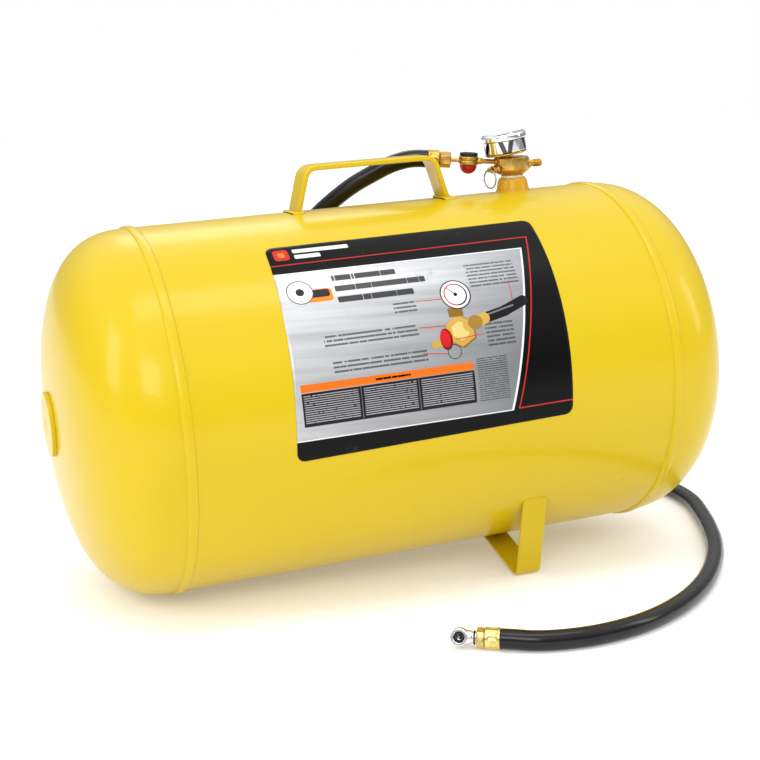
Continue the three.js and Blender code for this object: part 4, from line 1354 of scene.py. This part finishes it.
def print_titles(made):
    """The badge and bold bars where a sticker has its title, and blocks of small print."""
    made.ink(made.box(-106.0, 125.6, -80.0, 137.6, 3.0), ORANGE)
    made.ink(made.box(-106.0, 129.6, -82.0, 137.0, 2.5), PANEL_GREY)
    made.ink(made.disc(-106.4, 136.0, 11.2), PRINT_GREY)
    made.ink(made.disc(-106.4, 136.0, 10.2), srgb(232, 233, 235))
    made.ink(made.hoop(-106.4, 136.0, 8.2, 0.7), srgb(110, 110, 114))
    made.ink(made.disc(-106.4, 136.0, 3.6), PANEL_GREY)
    for low, right in ((143.4, -22.0), (133.0, 1.0), (122.6, -12.0)):
        words = made.noise(0.07, 1.0, 0.5, made.node("ShaderNodeCombineXYZ", X=made.x, Y=low * 9.0, Z=0.0))
        gaps = abs(words - 0.5).ramp(0.002, 0.008)
        made.ink(made.box(-77.0, low, right, low + 5.4, 1.0) * gaps, INK_BLACK, 0.9)
    areas = (
        ((-33.0, 106.5, -13.5, 117.5), 3.6, 1.0), ((-97.0, 86.0, -17.0, 97.0), 3.6, 11.0),
        ((-93.0, 64.5, -13.0, 75.5), 3.6, 31.0), ((38.0, 121.5, 82.0, 145.5), 3.4, 51.0),
        ((41.0, 69.5, 66.0, 90.5), 3.5, 71.0), ((28.0, 26.0, 55.0, 62.0), 1.8, 91.0),
    )
    for area, pitch, seed in areas:
        made.ink(fine_print(made, area, pitch, 0.37, seed), PRINT_GREY, 0.85)
    made.ink(made.box(-117.0, 171.0, -104.0, 184.0, 3.0), srgb(198, 46, 40))
    made.ink(made.box(-113.4, 174.6, -107.6, 180.4, 1.5), ORANGE)
    made.ink(made.box(-100.0, 178.6, -52.0, 183.2, 1.0), PRINT_WHITE)
    made.ink(made.box(-100.0, 171.6, -78.0, 176.2, 1.0), PRINT_WHITE)


def print_drawing(made):
    """The drawing of the fittings: a gauge over a brass cross with a red knob and a hose."""
    gold, gold_dark = DRAWN_GOLD, DRAWN_GOLD_DARK
    made.ink(made.stroke((36.0, 92.5), (62.0, 98.0), 9.0), DRAWN_BLACK)
    made.ink(made.stroke((60.0, 97.5), (80.0, 105.0), 9.0), DRAWN_BLACK)
    made.ink(made.stroke((36.0, 94.5), (70.0, 102.0), 1.4), LINE_GREY)
    made.ink(made.stroke((-5.0, 77.0), (8.0, 79.5), 6.0), gold)
    made.ink(made.hexagon(19.5, 85.5, 12.4), gold_dark)
    made.ink(made.hexagon(19.0, 86.0, 11.6), gold)
    made.ink(made.hexagon(19.0, 86.0, 7.0), srgb(232, 204, 128))
    made.ink(made.stroke((27.0, 89.5), (42.0, 94.0), 10.0), gold)
    made.ink(made.stroke((33.0, 91.2), (34.0, 91.6), 12.0), gold_dark, 0.7)
    made.ink(made.box(12.0, 98.0, 25.0, 106.0, 1.0), gold_dark)
    print_drawn_gauge(made, 22.6, 117.5)
    made.ink(made.disc(5.5, 80.4, 5.4, 0.6), srgb(120, 14, 20))
    made.ink(made.disc(4.9, 81.0, 4.4, 0.6), srgb(214, 36, 40))
    made.ink(made.hoop(10.7, 69.5, 5.8, 0.7), DRAWN_GREY)
    callouts = (
        ((-12.2, 115.4), (10.5, 114.7)), ((-15.3, 92.4), (7.4, 91.4)), ((13.8, 79.3), (38.8, 81.0)),
        ((-16.4, 71.2), (4.4, 68.5)), ((72.2, 121.6), (71.1, 107.0)),
    )
    for start, end in callouts:
        made.ink(made.stroke(start, end, 0.7), srgb(206, 40, 36))


def print_drawn_gauge(made, x, y):
    """The drawn gauge about its middle: a dark rim, a white face, a red and grey scale and a pointer."""
    made.ink(made.disc(x, y, 13.4), srgb(44, 44, 48))
    made.ink(made.disc(x, y, 12.2), srgb(246, 246, 246))
    made.ink(made.hoop(x, y, 9.6, 1.2), srgb(200, 40, 40))
    made.ink(made.box(x - 0.6, y - 10.0, x + 11.4, y + 9.5) * made.hoop(x, y, 9.6, 1.4), DRAWN_GREY)
    made.ink(made.stroke((x, y), (x - 6.2, y + 6.5), 0.9), POINTER_BLACK)
    made.ink(made.disc(x, y, 1.7), POINTER_BLACK)


def printed_film():
    """The sticker: printed film under a clear gloss, with light scuffs and a metallic panel."""
    made = Print("printed_film", INK_BLACK, 0.28, specular_ior_level=0.12)
    panel = print_ground(made)
    print_table(made)
    print_titles(made)
    print_drawing(made)
    scuff = made.noise(30.0, 6.0, 0.7).ramp(0.6, 0.72) * 0.3
    made.set("Base Color", made.mix(scuff * 0.5, made.colour, srgb(120, 118, 112)))
    made.set("Roughness", 0.24 + scuff + made.noise(8.0, 2.0) * 0.08)
    made.set("Metallic", panel * 0.35)
    made.bump(made.noise(26.0, 2.0), 0.1, 0.0006)
    made.bump(scuff, 0.2, 0.0001)
    return made.material


# The studio.

def make_floor():
    shape = bmesh.new()
    bmesh.ops.create_grid(shape, x_segments=4, y_segments=4, size=12.0)
    mesh = bpy.data.meshes.new("floor")
    shape.to_mesh(mesh)
    shape.free()
    made = Finish("pale_floor", (0.86, 0.86, 0.86), 0.62, specular_ior_level=0.1, emission_strength=0.22)
    made.set("Emission Color", (1.0, 1.0, 1.0, 1.0))
    made.set("Base Color", made.mix(made.noise(3.0, 3.0) * 0.3, (0.88, 0.88, 0.88), (0.85, 0.85, 0.85)))
    made.set("Roughness", 0.6 + made.noise(60.0, 3.0) * 0.1)
    mesh.materials.append(made.material)
    floor = bpy.data.objects.new("floor", mesh)
    bpy.context.scene.collection.objects.link(floor)


# Each light's place, its width and height, and its power. All of them face the tank.
LIGHTS = {
    "overhead": ((0.0, -0.5, 1.9), (1.6, 0.5), 8.0),
    "front_window": ((-0.9, -1.9, 1.3), (1.0, 0.8), 12.0),
    "left_window": ((-1.7, -0.3, 0.9), (0.5, 0.9), 6.0),
    "right_window": ((1.6, -0.8, 0.9), (0.3, 0.9), 4.0),
    "back_window": ((0.3, 1.7, 1.7), (1.0, 0.7), 4.0),
}
LIGHT_TARGET = (0.0, 0.0, 0.15)


def area_light(name, place, size, power):
    data = bpy.data.lights.new(name, "AREA")
    data.shape = "RECTANGLE"
    data.size, data.size_y = size
    data.energy = power
    lamp = bpy.data.objects.new(name, data)
    bpy.context.scene.collection.objects.link(lamp)
    aim = (Vector(LIGHT_TARGET) - Vector(place)).to_track_quat("-Z", "Y").to_matrix().to_4x4()
    lamp.matrix_world = Matrix.Translation(Vector(place)) @ aim


def make_world():
    """White where the camera looks past the tank, and a studio that darkens downwards in reflections."""
    world = bpy.data.worlds.new("studio")
    bpy.context.scene.world = world
    world.use_nodes = True
    tree = world.node_tree
    seen = tree.nodes["Background"]
    cast = tree.nodes.new("ShaderNodeBackground")
    for background in (seen, cast):
        background.inputs["Color"].default_value = (1.0, 1.0, 1.0, 1.0)
    apart = tree.nodes.new("ShaderNodeSeparateXYZ")
    tree.links.new(tree.nodes.new("ShaderNodeTexCoord").outputs["Generated"], apart.inputs[0])
    height = Num(tree, apart.outputs[2])
    put(tree, cast.inputs["Strength"], 0.34 + height.ramp(0.12, 0.8) * 0.9)
    blend = tree.nodes.new("ShaderNodeMixShader")
    put(tree, blend.inputs[0], tree.nodes.new("ShaderNodeLightPath").outputs["Is Camera Ray"])
    tree.links.new(cast.outputs[0], blend.inputs[1])
    tree.links.new(seen.outputs[0], blend.inputs[2])
    tree.links.new(blend.outputs[0], tree.nodes["World Output"].inputs["Surface"])


def make_lights():
    make_world()
    for name, (place, size, power) in LIGHTS.items():
        area_light(name, place, size, power)
    bpy.context.scene.view_settings.view_transform = "Standard"
    bpy.context.scene.view_settings.look = "None"


def dress(node, finish):
    """Gives a kept solid its finish in every slot."""
    part = frame["nodes"][node]
    if not part.material_slots:
        part.data.materials.append(finish)
    for holder in part.material_slots:
        holder.material = finish


# The making.

place_camera()
hose, hose_length = make_hose(hose_cover())

paint = enamel()
metal = brass()
pale_metal = brass("pale_brass", srgb(232, 210, 138), srgb(186, 158, 84))
plate = chrome()
steel = wire_steel()
seal = soft_rubber()
print_black = moulded("dial_ink", srgb(20, 20, 22), srgb(50, 50, 52), 0.4)
red_gloss = moulded("red_plastic", srgb(168, 8, 22), srgb(110, 14, 20), 0.2)
black_gloss = moulded("black_plastic", srgb(12, 12, 13), srgb(46, 45, 44), 0.3)

make_shell(paint)
make_heads(paint)
girth_bead("left_bead", -1, paint)
girth_bead("right_bead", 1, paint)
make_seam(paint)
make_end_pad(paint)
make_handle(paint)
make_feet(paint)
make_label(printed_film())
# The bung's enamel is a darker, more orange copy of the tank's yellow enamel: painted shade on the bung.
make_bung(enamel("bung_enamel_painted_shade", (0.64, 0.36, 0.01), (0.56, 0.27, 0.008)))
make_tape(thread_tape())
make_block(metal)
make_gauge(metal, plate, drum_plate_painted_reflections(), dial_print(), clear_lens(), print_black, red_gloss)
make_relief(metal, steel)
make_fill(metal)
make_outlet(metal, red_gloss, black_gloss)
tank_ferrule = make_tank_ferrule(metal)
chuck_pieces = make_chuck(pale_metal, plate, seal, steel)

BRASS_NODES = (
    "gauge_stem", "bourdon_tube", "gauge_spindle", "gauge_sector", "relief_stem", "fill_pin", "cock_plug",
)
for node in BRASS_NODES:
    dress(node, metal)
dress("gauge_needle", print_black)
dress("relief_spring", steel)

make_floor()
make_lights()
